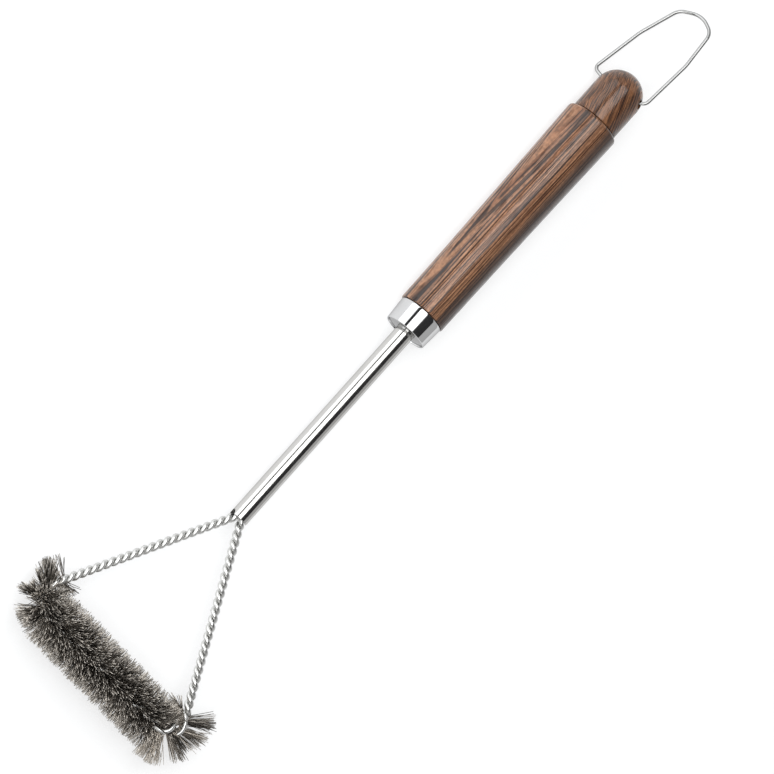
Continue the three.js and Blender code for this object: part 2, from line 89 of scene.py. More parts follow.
@dataclass(frozen=True)
class Places:
    """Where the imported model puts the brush.

    Args:
        axis_z: Height of the handle's axis above the surface.
        mouth_y: Open end of the shaft tube, where the two arms leave it.
        tube_end_y: End of the tube inside the grip.
        ferrule_y: Rim of the ferrule.
        ferrule_end_y: Edge of the ferrule against the wood.
        grip_end_y: Rear face of the grip.
        cap_y: Base of the end cap.
        cap_end_y: Top of the cap's dome.
        hinge: Middle of the loop's cross hole.
        hinge_axis: Direction of the loop's cross hole.
    """

    axis_z: float
    mouth_y: float
    tube_end_y: float
    ferrule_y: float
    ferrule_end_y: float
    grip_end_y: float
    cap_y: float
    cap_end_y: float
    hinge: Vector
    hinge_axis: Vector

    @classmethod
    def from_frame(cls) -> "Places":
        """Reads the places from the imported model.

        Returns:
            The places.
        """
        tube_low, tube_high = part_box("shaft_tube")
        ferrule_low, ferrule_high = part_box("ferrule")
        grip_low, grip_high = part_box("grip")
        cap_low, cap_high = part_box("end_cap")
        swing = next(joint for joint in frame["joints"] if joint["child"] == Body.LOOP.value)
        return cls(
            axis_z=(grip_low[2] + grip_high[2]) / 2,
            mouth_y=tube_low[1],
            tube_end_y=tube_high[1],
            ferrule_y=ferrule_low[1],
            ferrule_end_y=ferrule_high[1],
            grip_end_y=grip_high[1],
            cap_y=cap_low[1],
            cap_end_y=cap_high[1],
            hinge=Vector(swing["pos_m"]),
            hinge_axis=Vector(swing["axis"]).normalized(),
        )


# ------------------------------------------------------------------------------ shader graph


class Signal:
    """One output socket of a material, with arithmetic that adds the nodes it needs."""

    def __init__(self, graph: "Graph", socket: bpy.types.NodeSocket) -> None:
        """Wraps a socket.

        Args:
            graph: The material's graph.
            socket: The output socket.
        """
        self.graph = graph
        self.socket = socket

    def _combine(self, operation: str, other: object, swapped: bool = False) -> "Signal":
        """Combines this signal with another or with a constant.

        Args:
            operation: Name of the operation, the same for Math, Vector Math and Mix.
            other: A signal, a number or a tuple.
            swapped: Whether the other value comes first.

        Returns:
            The result.
        """
        kinds = {self.socket.type}
        if isinstance(other, Signal):
            kinds.add(other.socket.type)
        pair = (other, self) if swapped else (self, other)
        if "RGBA" in kinds:
            return self.graph.blend(1.0, *pair, blend_type=operation)
        kind = "ShaderNodeVectorMath" if "VECTOR" in kinds else "ShaderNodeMath"
        if kind == "ShaderNodeVectorMath":
            pair = tuple((v,) * 3 if isinstance(v, (int, float)) else v for v in pair)
        return self.graph.node(kind, {"operation": operation}, {0: pair[0], 1: pair[1]})

    def __add__(self, other: object) -> "Signal":
        """Sum.

        Args:
            other: A signal, a number or a tuple.

        Returns:
            The sum.
        """
        return self._combine("ADD", other)

    def __radd__(self, other: object) -> "Signal":
        """Sum, other value first.

        Args:
            other: A signal, a number or a tuple.

        Returns:
            The sum.
        """
        return self._combine("ADD", other, swapped=True)

    def __sub__(self, other: object) -> "Signal":
        """Difference.

        Args:
            other: A signal, a number or a tuple.

        Returns:
            The difference.
        """
        return self._combine("SUBTRACT", other)

    def __rsub__(self, other: object) -> "Signal":
        """Difference, other value first.

        Args:
            other: A signal, a number or a tuple.

        Returns:
            The difference.
        """
        return self._combine("SUBTRACT", other, swapped=True)

    def __mul__(self, other: object) -> "Signal":
        """Product.

        Args:
            other: A signal, a number or a tuple.

        Returns:
            The product.
        """
        return self._combine("MULTIPLY", other)

    def __rmul__(self, other: object) -> "Signal":
        """Product, other value first.

        Args:
            other: A signal, a number or a tuple.

        Returns:
            The product.
        """
        return self._combine("MULTIPLY", other, swapped=True)

    def ramp(self, low: float, high: float) -> "Signal":
        """Spreads the stretch from low to high over 0 to 1, with eased ends.

        Args:
            low: Value that becomes 0.
            high: Value that becomes 1.

        Returns:
            The clamped result.
        """
        settings = {"interpolation_type": "SMOOTHSTEP"}
        bounds = {"Value": self, "From Min": low, "From Max": high, "To Min": 0.0, "To Max": 1.0}
        return self.graph.node("ShaderNodeMapRange", settings, bounds)


MIX_FACTOR, MIX_FIRST, MIX_SECOND = 0, 6, 7  # input sockets of a colour mix
MIX_RESULT = 2  # its output socket


class Graph:
    """The node graph of one material."""

    def __init__(self, name: str) -> None:
        """Starts a material with a Principled shader.

        Args:
            name: The material's name.
        """
        self.material = bpy.data.materials.new(name)
        self.material.use_nodes = True
        self.tree = self.material.node_tree
        self.tree.nodes.clear()
        self.shader = self.tree.nodes.new("ShaderNodeBsdfPrincipled")
        output = self.tree.nodes.new("ShaderNodeOutputMaterial")
        self.tree.links.new(self.shader.outputs[0], output.inputs[0])

    def feed(self, socket: bpy.types.NodeSocket, value: object) -> None:
        """Gives an input socket its value or its link.

        Args:
            socket: The input socket.
            value: A signal, a number, or a tuple.
        """
        if isinstance(value, Signal):
            self.tree.links.new(value.socket, socket)
        elif socket.type == "RGBA" and isinstance(value, (int, float)):
            socket.default_value = (value, value, value, 1.0)
        elif socket.type == "RGBA" and len(value) == 3:
            socket.default_value = (*value, 1.0)
        else:
            socket.default_value = value

    def node(
        self,
        kind: str,
        settings: dict[str, object] | None = None,
        values: dict[int | str, object] | None = None,
        output: int | str = 0,
    ) -> Signal:
        """Adds a node.

        Args:
            kind: The node's type.
            settings: Its settings, set first.
            values: The values or links of its input sockets.
            output: The output that is wanted.

        Returns:
            That output.
        """
        made = self.tree.nodes.new(kind)
        for key, value in (settings or {}).items():
            setattr(made, key, value)
        for key, value in (values or {}).items():
            self.feed(made.inputs[key], value)
        return Signal(self, made.outputs[output])

    def blend(self, factor: object, a: object, b: object, blend_type: str = "MIX") -> Signal:
        """Mixes two colours.

        Args:
            factor: Share of the second one.
            a: First colour.
            b: Second colour.
            blend_type: Name of the mixing operation.

        Returns:
            The mixed colour.
        """
        settings = {"data_type": "RGBA", "blend_type": blend_type}
        values = {MIX_FACTOR: factor, MIX_FIRST: a, MIX_SECOND: b}
        return self.node("ShaderNodeMix", settings, values, output=MIX_RESULT)

    def place(self) -> Signal:
        """Object coordinates.

        Returns:
            The coordinates, in metres.
        """
        return self.node("ShaderNodeTexCoord", output="Object")

    def attribute(self, name: str) -> Signal:
        """A number stored on the mesh.

        Args:
            name: Name of the attribute.

        Returns:
            The number.
        """
        return self.node("ShaderNodeAttribute", {"attribute_name": name}, output="Fac")

    def stretched(self, place: Signal, sizes: Sequence[float], turn: Sequence[float]) -> Signal:
        """Coordinates in which features have the given sizes.

        Args:
            place: Coordinates in metres.
            sizes: Size of one feature along each turned axis, in metres.
            turn: Turn of the axes, in degrees about X, Y and Z.

        Returns:
            The stretched coordinates.
        """
        angles = tuple(math.radians(angle) for angle in turn)
        values = {"Vector": place, "Rotation": angles, "Scale": tuple(sizes)}
        return self.node("ShaderNodeMapping", {"vector_type": "TEXTURE"}, values)

    def noise(self, place: Signal, detail: float = 2.0, roughness: float = 0.5) -> Signal:
        """Fractal noise with features about one unit across.

        Args:
            place: Coordinates.
            detail: Number of finer layers.
            roughness: Strength of the finer layers.

        Returns:
            The noise, from 0 to 1.
        """
        values = {"Vector": place, "Scale": 1.0, "Detail": detail, "Roughness": roughness}
        return self.node("ShaderNodeTexNoise", {"normalize": True}, values)

    def bump(self, height: Signal, distance: float, strength: float = 1.0) -> Signal:
        """Bump from a height.

        Args:
            height: The height, from 0 to 1.
            distance: Height in metres that 1 stands for.
            strength: Strength of the effect.

        Returns:
            The bent normal.
        """
        values = {"Strength": strength, "Distance": distance, "Height": height}
        return self.node("ShaderNodeBump", None, values)

    def finish(self, **values: object) -> bpy.types.Material:
        """Feeds the shader and hands over the material.

        Args:
            values: Shader inputs, their names in lower case with underscores.

        Returns:
            The material.
        """
        names = {socket.name.lower().replace(" ", "_"): socket for socket in self.shader.inputs}
        for key, value in values.items():
            self.feed(names[key], value)
        return self.material


# ------------------------------------------------------------------------------ finishes


@dataclass(frozen=True)
class WoodFinish:
    """Oiled striped hardwood under a satin film, with a painted shade towards +X across the handle.

    Args:
        name: The material's name.
        turn: Turn of the growth layers, in degrees; they are stacked along their own X.
        dark: Colour of the dark lines.
        brown: Colour of the body of the wood.
        tan: Colour of the pale stripes.
        stripe: Width of a stripe across the layers, in metres.
        figure: How far a stripe runs inside its layer and along the grain, in metres.
        sway: How far the layers wander, in metres.
        sway_size: Size of the wandering along each turned axis, in metres.
        contrast: Strength of the dark lines, from 0 to 1.
        shaded_side: Painted shade: place across the handle where the darkening towards +X starts and
            where it is full, in metres.
        shaded_side_depth: Strength of that painted shade, from 0 to 1.
        seed_shift: Shift of the pattern, in metres.
        fibre: Size of a fleck of fibre: across, as a share of a stripe, and along and into the
            wood, in metres.
        pore: Size of a pore, in the same way.
        patch_depth: Strength of the broad dark patches, from 0 to 1.
        thread_light: Strength of the pale threads, from 0 to 1.
        fibre_tone: Least brightness of the fibre, and how much it varies.
        pore_depth: Darkness of the pores, from 0 to 1.
        bump_depth: Depth of the grain, in metres.
        film: Weight of the film between the pores.
        film_roughness: Its roughness.
    """

    name: str
    turn: tuple[float, float, float]
    dark: Colour
    brown: Colour
    tan: Colour
    stripe: float = 0.0018
    figure: tuple[float, float] = (0.16, 0.010)
    sway: float = 0.0009
    sway_size: tuple[float, float, float] = (0.018, 0.070, 0.018)
    contrast: float = 0.85
    shaded_side: tuple[float, float] = (0.0015, 0.0065)
    shaded_side_depth: float = 0.80
    seed_shift: tuple[float, float, float] = (0.0, 0.0, 0.0)
    fibre: tuple[float, float, float] = (0.24, 0.0024, 0.0025)
    pore: tuple[float, float, float] = (0.16, 0.0090, 0.0030)
    patch_depth: float = 0.45
    thread_light: float = 0.7
    fibre_tone: tuple[float, float] = (0.24, 1.50)
    pore_depth: float = 0.35
    bump_depth: float = 0.00012
    film: float = 0.85
    film_roughness: float = 0.17

    def material(self) -> bpy.types.Material:
        """Builds the material.

        Returns:
            The material.
        """
        graph = Graph(self.name)
        start = graph.place() + self.seed_shift
        wander = graph.noise(graph.stretched(start, self.sway_size, self.turn), detail=2.0)
        place = start + (wander - 0.5) * (2 * self.sway)
        along, deep = self.figure
        width = self.stripe

        def layers(across: float, length: float, depth: float, detail: float) -> Signal:
            """Noise drawn out along the grain.

            Args:
                across: Size across the layers, as a share of a stripe.
                length: Size along the grain, in metres.
                depth: Size into the wood, in metres.
                detail: Number of finer layers.

            Returns:
                The noise, from 0 to 1.
            """
            sizes = (across * width, length, depth)
            return graph.noise(graph.stretched(place, sizes, self.turn), detail, 0.6)

        broad = layers(across=4.0, length=1.2 * along, depth=1.6 * deep, detail=1.0)
        bands = layers(across=1.0, length=along, depth=deep, detail=2.0)
        lines = layers(across=0.40, length=0.8 * along, depth=0.8 * deep, detail=1.0)
        threads = layers(across=0.22, length=0.5 * along, depth=0.6 * deep, detail=1.0)
        fibre = layers(*self.fibre, detail=2.0)
        pores = layers(*self.pore, detail=0.0).ramp(0.62, 0.70)
        across = graph.node("ShaderNodeSeparateXYZ", None, {"Vector": place}, "X")
        # Painted shade: the wood is darkened towards +X across the handle, from the first place to the
        # second.
        shaded_side = across.ramp(*self.shaded_side)
        dark_patches = broad.ramp(0.50, 0.66) * self.patch_depth
        dark_lines = lines.ramp(0.53, 0.60) * self.contrast
        dark_threads = threads.ramp(0.53, 0.61) * self.contrast
        pale_threads = threads.ramp(0.46, 0.37) * self.thread_light
        least, spread = self.fibre_tone
        tone = graph.blend(bands.ramp(0.36, 0.64), self.brown, self.tan)
        tone = graph.blend(dark_patches, tone, self.dark)
        tone = graph.blend(dark_lines, tone, self.dark)
        tone = graph.blend(dark_threads, tone, self.dark)
        tone = graph.blend(pale_threads, tone, self.tan)
        tone = tone * (least + spread * fibre)
        tone = graph.blend(pores * self.pore_depth, tone, self.dark)
        # Lays the painted shade of the +X side over the wood.
        tone = graph.blend(shaded_side * self.shaded_side_depth, tone, self.dark)
        grain = 1 - 0.8 * pores - 0.5 * fibre - 0.5 * threads
        return graph.finish(
            base_color=tone,
            roughness=0.42 + 0.20 * fibre + 0.15 * pores,
            coat_weight=self.film - 0.45 * pores,
            coat_roughness=self.film_roughness,
            specular_ior_level=0.2,
            normal=graph.bump(grain, self.bump_depth, 0.9),
        )


@dataclass(frozen=True)
class SteelFinish:
    """Bare or plated steel with drawing marks, faint smears and hairline scratches.

    Args:
        name: The material's name.
        colour: Reflected colour.
        roughness: Smallest roughness.
        haze: Roughness that smears add.
        marks: Size of the drawing marks along X, Y and Z, in metres.
        mark_depth: Depth of the drawing marks, in metres.
        edge: Share of the colour that is left where the surface is seen at a glance.
        smear: Size of a smear, in metres.
        scratch: Size of a hairline scratch, in metres.
    """

    name: str
    colour: Colour
    roughness: float
    haze: float
    marks: tuple[float, float, float]
    mark_depth: float
    edge: float = 0.55
    smear: tuple[float, float, float] = (0.009, 0.016, 0.009)
    scratch: tuple[float, float, float] = (0.0009, 0.02, 0.0004)

    def material(self) -> bpy.types.Material:
        """Builds the material.

        Returns:
            The material.
        """
        graph = Graph(self.name)
        place = graph.place()
        marks = graph.noise(graph.stretched(place, self.marks, (0, 0, 0)), 3.0, 0.6)
        smears = graph.noise(graph.stretched(place, self.smear, (20, 0, 30)), 4.0, 0.55)
        hair = graph.noise(graph.stretched(place, self.scratch, (0, 35, 12)), 1.0)
        scratches = hair.ramp(0.70, 0.74)
        smeared = tuple(0.9 * channel for channel in self.colour)
        tint = graph.blend(smears.ramp(0.35, 0.8) * 0.5, self.colour, smeared)
        return graph.finish(
            base_color=tint,
            metallic=1.0,
            specular_tint=self.edge,
            roughness=self.roughness + self.haze * smears.ramp(0.4, 0.75) + 0.10 * scratches,
            normal=graph.bump(marks - 0.4 * scratches, self.mark_depth),
        )


@dataclass(frozen=True)
class BristleFinish:
    """Fine carbon steel wire, brown-grey from heat and oil, worn brighter at its tips, with painted
    glints on the tips of the paler bristles.

    Args:
        name: The material's name.
        dark: Colour of the darkest bristles.
        light: Colour of the lightest ones.
        tip: Colour of the worn tips, which also paints glints on the tips of the paler bristles.
        grime: Size of a patch of grime, in metres.
    """

    name: str
    dark: Colour
    light: Colour
    tip: Colour
    grime: float = 0.0012

    def material(self) -> bpy.types.Material:
        """Builds the material.

        Returns:
            The material.
        """
        graph = Graph(self.name)
        tone = graph.attribute("tone")
        along = graph.attribute("along")
        patches = graph.stretched(graph.place(), (self.grime,) * 3, (0, 0, 0))
        grime = graph.noise(patches, 3.0)
        colour = graph.blend(tone, self.dark, self.light)
        # Worn tips and painted glints: the paler a bristle, the more its tip takes the tip colour.
        colour = graph.blend(along.ramp(0.70, 1.0) * (0.10 + 0.70 * tone), colour, self.tip)
        colour = graph.blend(grime.ramp(0.45, 0.75) * 0.5, colour, self.dark)
        return graph.finish(
            base_color=colour,
            metallic=0.85,
            roughness=0.26 + 0.20 * grime,
        )


@dataclass(frozen=True)
class Finishes:
    """Every finish of the brush, built once.

    Args:
        grip: Wood of the grip.
        cap: Wood of the end cap.
        dowel: Wood of the dowel.
        tube: Steel of the shaft.
        ferrule: Steel of the ferrule.
        wire: Steel of the head's wires.
        loop: Steel of the hanging loop.
        pin: Steel of the cross pin and the wedge.
        bristle: Steel of the bristles.
    """

    grip: bpy.types.Material
    cap: bpy.types.Material
    dowel: bpy.types.Material
    tube: bpy.types.Material
    ferrule: bpy.types.Material
    wire: bpy.types.Material
    loop: bpy.types.Material
    pin: bpy.types.Material
    bristle: bpy.types.Material

    @classmethod
    def build(cls) -> "Finishes":
        """Builds the materials.

        Returns:
            The finishes.
        """
        dark = (0.014, 0.005, 0.003)
        drawn_marks = (0.0007, 0.030, 0.0007)
        round_marks = (0.0009, 0.0012, 0.0009)
        grip = WoodFinish(
            "oiled_grip_wood",
            turn=(0, 24, 0),
            dark=dark,
            brown=(0.176, 0.072, 0.034),
            tan=(0.37, 0.184, 0.098),
        )
        cap = WoodFinish(
            "oiled_cap_wood",
            turn=(14, -32, 18),
            dark=dark,
            brown=(0.210, 0.080, 0.034),
            tan=(0.48, 0.215, 0.095),
            figure=(0.09, 0.010),
            sway=0.0022,
            # The seed shift puts the whole cap past the start of the shaded side, so this darkens the
            # whole cap evenly.
            shaded_side_depth=0.50,
            sway_size=(0.020, 0.040, 0.020),
            seed_shift=(0.031, 0.012, 0.007),
        )
        dowel = WoodFinish(
            "plain_dowel_wood",
            turn=(0, 60, 0),
            dark=(0.42, 0.28, 0.15),
            brown=(0.55, 0.39, 0.22),
            tan=(0.68, 0.52, 0.33),
            stripe=0.0015,
            contrast=0.4,
            shaded_side_depth=0.0,
        )
        tube = SteelFinish(
            "polished_tube_steel",
            colour=(0.62, 0.612, 0.595),
            roughness=0.11,
            haze=0.08,
            marks=drawn_marks,
            mark_depth=0.000006,
        )
        ferrule = SteelFinish(
            "plated_ferrule_steel",
            colour=(0.68, 0.68, 0.685),
            roughness=0.05,
            haze=0.05,
            marks=round_marks,
            mark_depth=0.0000015,
        )
        wire = SteelFinish(
            "drawn_wire_steel",
            colour=(0.74, 0.74, 0.725),
            roughness=0.28,
            haze=0.12,
            marks=(0.0006, 0.0009, 0.0006),
            mark_depth=0.000012,
        )
        loop = SteelFinish(
            "plated_loop_steel",
            colour=(0.43, 0.43, 0.425),
            roughness=0.10,
            haze=0.08,
            marks=(0.0006, 0.008, 0.0006),
            mark_depth=0.000004,
        )
        pin = SteelFinish(
            "turned_pin_steel",
            colour=(0.55, 0.55, 0.54),
            roughness=0.25,
            haze=0.15,
            marks=round_marks,
            mark_depth=0.00001,
        )
        bristle = BristleFinish(
            "bristle_steel",
            dark=(0.060, 0.053, 0.046),
            light=(0.86, 0.79, 0.70),
            tip=(0.86, 0.81, 0.74),
        )
        recipes = (grip, cap, dowel, tube, ferrule, wire, loop, pin, bristle)
        return cls(*(recipe.material() for recipe in recipes))


# ------------------------------------------------------------------------------ mesh building


class Profile:
    """An outline of (radius, place along the axis) points for a turned piece."""

    def __init__(self) -> None:
        """Starts an empty outline."""
        self.points: list[Point] = []

    def to(self, *points: Point) -> "Profile":
        """Adds corner points.

        Args:
            points: The points, as (radius, place along the axis).

        Returns:
            The outline, so that calls can be chained.
        """
        self.points.extend(points)
        return self

    def arc(self, centre: Point, radius: float, start: float, end: float, steps: int) -> "Profile":
        """Adds an arc.

        Args:
            centre: Its centre.
            radius: Its radius.
            start: Where it starts, in degrees from the outward direction.
            end: Where it ends.
            steps: Number of steps.

        Returns:
            The outline.
        """
        for i in range(steps + 1):
            angle = math.radians(start + (end - start) * i / steps)
            self.points.append(
                (centre[0] + radius * math.cos(angle), centre[1] + radius * math.sin(angle))
            )
        return self

    def curve(self, place: Callable[[float], Point], steps: int) -> "Profile":
        """Adds a curve given by a formula of its share from 0 to 1.

        Args:
            place: The formula.
            steps: Number of steps.

        Returns:
            The outline.
        """
        return self.to(*(place(i / steps) for i in range(steps + 1)))

    def turned(self, sides: int, closed: bool, height: float) -> bmesh.types.BMesh:
        """Spins the outline about the handle's axis.

        Args:
            sides: Number of sides.
            closed: Whether the outline closes on itself rather than on the axis.
            height: Height of the axis.

        Returns:
            The turned mesh.
        """
        mesh = bmesh.new()
        rim = [mesh.verts.new((radius, place, 0.0)) for radius, place in self.points]
        ends = [*rim[1:], rim[0]] if closed else rim[1:]
        edges = [mesh.edges.new(pair) for pair in zip(rim, ends)]
        bmesh.ops.spin(
            mesh,
            geom=[*rim, *edges],
            cent=(0, 0, 0),
            axis=(0, 1, 0),
            angle=TAU,
            steps=sides,
            use_merge=True,
        )
        bmesh.ops.remove_doubles(mesh, verts=mesh.verts, dist=SAME_PLACE)
        bmesh.ops.translate(mesh, verts=mesh.verts, vec=(0, 0, height))
        bmesh.ops.recalc_face_normals(mesh, faces=mesh.faces)
        return mesh


@dataclass(frozen=True)
class Bend:
    """One rounded corner of a flat path.

    Args:
        start: Distance along the path where it starts.
        end: Distance where it ends.
        turn: Its angle, in radians, positive to the left.
    """

    start: float
    end: float
    turn: float


class FlatPath:
    """A flat path through corner points, each inner corner rounded to its own radius."""

    def __init__(self, corners: Sequence[Point], radii: Sequence[float]) -> None:
        """Works out the straight and round stretches.

        Args:
            corners: Corner points, both ends among them.
            radii: Radius of each inner corner.
        """
        self.stretches: list[tuple[float, Vector, Vector, float]] = []
        self.bends: list[Bend] = []
        self.length = 0.0
        points = [Vector(corner) for corner in corners]
        start = points[0]
        for before, here, after, radius in zip(points, points[1:], points[2:], radii):
            heading = (here - before).normalized()
            leaving = (after - here).normalized()
            cross = heading.x * leaving.y - heading.y * leaving.x
            turn = math.atan2(cross, heading.dot(leaving))
            setback = radius * math.tan(abs(turn) / 2)
            bend_start = here - heading * setback
            self._add(start, heading, (bend_start - start).length, 0.0)
            sweep = radius * abs(turn)
            self.bends.append(Bend(self.length, self.length + sweep, turn))
            self._add(bend_start, heading, sweep, math.copysign(1 / radius, turn))
            start = here + leaving * setback
        last = points[-1]
        self._add(start, (last - start).normalized(), (last - start).length, 0.0)

    def _add(self, start: Vector, heading: Vector, length: float, curvature: float) -> None:
        """Adds a stretch.

        Args:
            start: Its first point.
            heading: Its first direction.
            length: Its length.
            curvature: One over its radius, positive to the left, or 0 where it is straight.
        """
        self.stretches.append((self.length, start, heading, curvature))
        self.length += length

    def at(self, distance: float) -> tuple[Vector, Vector]:
        """Point and direction at a distance along the path.

        Args:
            distance: The distance.

        Returns:
            The point and the direction there.
        """
        begun = [stretch for stretch in self.stretches if stretch[0] <= distance]
        offset, start, heading, curvature = begun[-1] if begun else self.stretches[0]
        along = distance - offset
        if curvature == 0:
            return start + heading * along, heading.copy()
        turned = Matrix.Rotation(along * curvature, 2) @ heading
        centre = start + left_of(heading) / curvature
        return centre - left_of(turned) / curvature, turned

    def stops(self, straight_step: float, degrees_step: float) -> list[float]:
        """Distances at which a wire along the path needs a ring.

        Args:
            straight_step: Longest step on a straight stretch.
            degrees_step: Largest turn between rings on a round one.

        Returns:
            The distances, in order.
        """
        stops = [0.0]
        edges = [stretch[0] for stretch in self.stretches[1:]] + [self.length]
        for (offset, _, _, curvature), end in zip(self.stretches, edges):
            step = straight_step if curvature == 0 else math.radians(degrees_step) / abs(curvature)
            count = max(1, math.ceil((end - offset) / step))
            stops.extend(offset + (end - offset) * (i + 1) / count for i in range(count))
        return stops


def left_of(heading: Vector) -> Vector:
    """Direction to the left of a flat heading.

    Args:
        heading: The heading.

    Returns:
        The direction.
    """
    return Vector((-heading.y, heading.x))


def wire_mesh(points: Sequence[Vector], radius: float, sides: int, chamfer: float) -> bmesh.types.BMesh:
    """A round wire through points, swept ring by ring, with chamfered ends.

    Args:
        points: Centre line.
        radius: The wire's radius.
        sides: Number of sides.
        chamfer: Width of the chamfer at both ends.

    Returns:
        The closed mesh.
    """
    frames = [Matrix.Translation(place) @ turn.to_4x4() for place, turn in along_frames(points)]
    small = Matrix.Diagonal(((radius - chamfer) / radius,) * 2 + (1.0, 1.0))
    into_start = Matrix.Translation(frames[0].to_3x3() @ Vector((0, 0, -chamfer)))
    past_end = Matrix.Translation(frames[-1].to_3x3() @ Vector((0, 0, chamfer)))
    rings = [into_start @ frames[0] @ small, *frames, past_end @ frames[-1] @ small]
    mesh = bmesh.new()
    made = bmesh.ops.create_circle(
        mesh, cap_ends=True, segments=sides, radius=radius, matrix=rings[0]
    )
    ring = {vert for vert in made["verts"]}
    edges = [edge for edge in mesh.edges if set(edge.verts) <= ring]
    for before, after in zip(rings, rings[1:]):
        grown = bmesh.ops.extrude_edge_only(mesh, edges=edges)["geom"]
        ring = {part for part in grown if isinstance(part, bmesh.types.BMVert)}
        edges = [
            part
            for part in grown
            if isinstance(part, bmesh.types.BMEdge) and set(part.verts) <= ring
        ]
        bmesh.ops.transform(mesh, matrix=after @ before.inverted(), verts=list(ring))
    bmesh.ops.contextual_create(mesh, geom=edges)
    bmesh.ops.recalc_face_normals(mesh, faces=mesh.faces)
    return mesh


def along_frames(points: Sequence[Vector]) -> Iterator[tuple[Vector, Matrix]]:
    """Frames along a line, turned no more than the line asks.

    Args:
        points: The line.

    Yields:
        Each point with the turn that takes Z along the line.
    """
    last = len(points) - 1
    tangents = [
        (points[min(i + 1, last)] - points[max(i - 1, 0)]).normalized() for i in range(last + 1)
    ]
    turn = Vector((0, 0, 1)).rotation_difference(tangents[0]).to_matrix()
    yield points[0], turn
    for i in range(1, last + 1):
        turn = tangents[i - 1].rotation_difference(tangents[i]).to_matrix() @ turn
        yield points[i], turn


def bar_mesh(start: Vector, end: Vector, radius: float, far: float, sides: int) -> bmesh.types.BMesh:
    """A round or tapered bar between two points.

    Args:
        start: Middle of its first end.
        end: Middle of its far end.
        radius: Radius at its first end.
        far: Radius at its far end.
        sides: Number of sides.

    Returns:
        The mesh.
    """
    mesh = bmesh.new()
    along = end - start
    turn = Vector((0, 0, 1)).rotation_difference(along).to_matrix().to_4x4()
    bmesh.ops.create_cone(
        mesh,
        cap_ends=True,
        segments=sides,
        radius1=radius,
        radius2=far,
        depth=along.length,
        matrix=Matrix.Translation((start + end) / 2) @ turn,
    )
    return mesh


def bevel_ends(mesh: bmesh.types.BMesh, width: float, segments: int) -> None:
    """Bevels the rims of a bar's two end faces.

    Args:
        mesh: The bar, whose walls have four corners each.
        width: Width of the bevel.
        segments: Number of steps in it.
    """
    rims = {edge for face in mesh.faces if len(face.verts) > 4 for edge in face.edges}
    bmesh.ops.bevel(
        mesh,
        geom=list(rims),
        offset=width,
        segments=segments,
        profile=0.5,
        affect="EDGES",
        material=-1,
        clamp_overlap=True,
    )
    bmesh.ops.recalc_face_normals(mesh, faces=mesh.faces)


def as_object(name: str, mesh: bmesh.types.BMesh) -> bpy.types.Object:
    """Makes an object of a bmesh and frees it.

    Args:
        name: The object's name.
        mesh: The bmesh.

    Returns:
        The object, linked to the scene.
    """
    data = bpy.data.meshes.new(name)
    mesh.to_mesh(data)
    mesh.free()
    piece = bpy.data.objects.new(name, data)
    bpy.context.scene.collection.objects.link(piece)
    return piece


def apply_modifiers(piece: bpy.types.Object) -> None:
    """Puts what the modifiers make into the mesh and drops them.

    Args:
        piece: The object.
    """
    evaluated = piece.evaluated_get(bpy.context.evaluated_depsgraph_get())
    data = bpy.data.meshes.new_from_object(evaluated)
    before = piece.data
    piece.modifiers.clear()
    piece.data = data
    bpy.data.meshes.remove(before)
    data.name = piece.name


def cut_away(piece: bpy.types.Object, cutters: Sequence[bmesh.types.BMesh]) -> None:
    """Cuts closed shapes out of a piece.

    Args:
        piece: The piece.
        cutters: The shapes; they are used up.
    """
    tools = [as_object("cutter", cutter) for cutter in cutters]
    for tool in tools:
        modifier = piece.modifiers.new("cut", "BOOLEAN")
        modifier.operation = "DIFFERENCE"
        modifier.solver = "EXACT"
        modifier.object = tool
    apply_modifiers(piece)
    for tool in tools:
        data = tool.data
        bpy.data.objects.remove(tool)
        bpy.data.meshes.remove(data)


def dress(
    piece: bpy.types.Object,
    material: bpy.types.Material,
    body: Body,
    slot: Slot,
    stands_for: Sequence[str],
    sharp_degrees: float = 35.0,
) -> bpy.types.Object:
    """Gives a finished piece its material, shading and body.

    Args:
        piece: The piece.
        material: Its material.
        body: The body that it rides on.
        slot: Its material slot; not used.
        stands_for: The nodes that it stands for.
        sharp_degrees: Edges over this angle stay sharp.

    Returns:
        The piece.
    """
    piece.data.materials.clear()
    piece.data.materials.append(material)
    piece.data.shade_smooth()
    piece.data.set_sharp_from_angle(angle=math.radians(sharp_degrees))
    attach(piece, body.value)
    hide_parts(*stands_for)
    LOG.info("%s: %d faces on body %s", piece.name, len(piece.data.polygons), body.value)
    return piece


# ------------------------------------------------------------------------------ handle


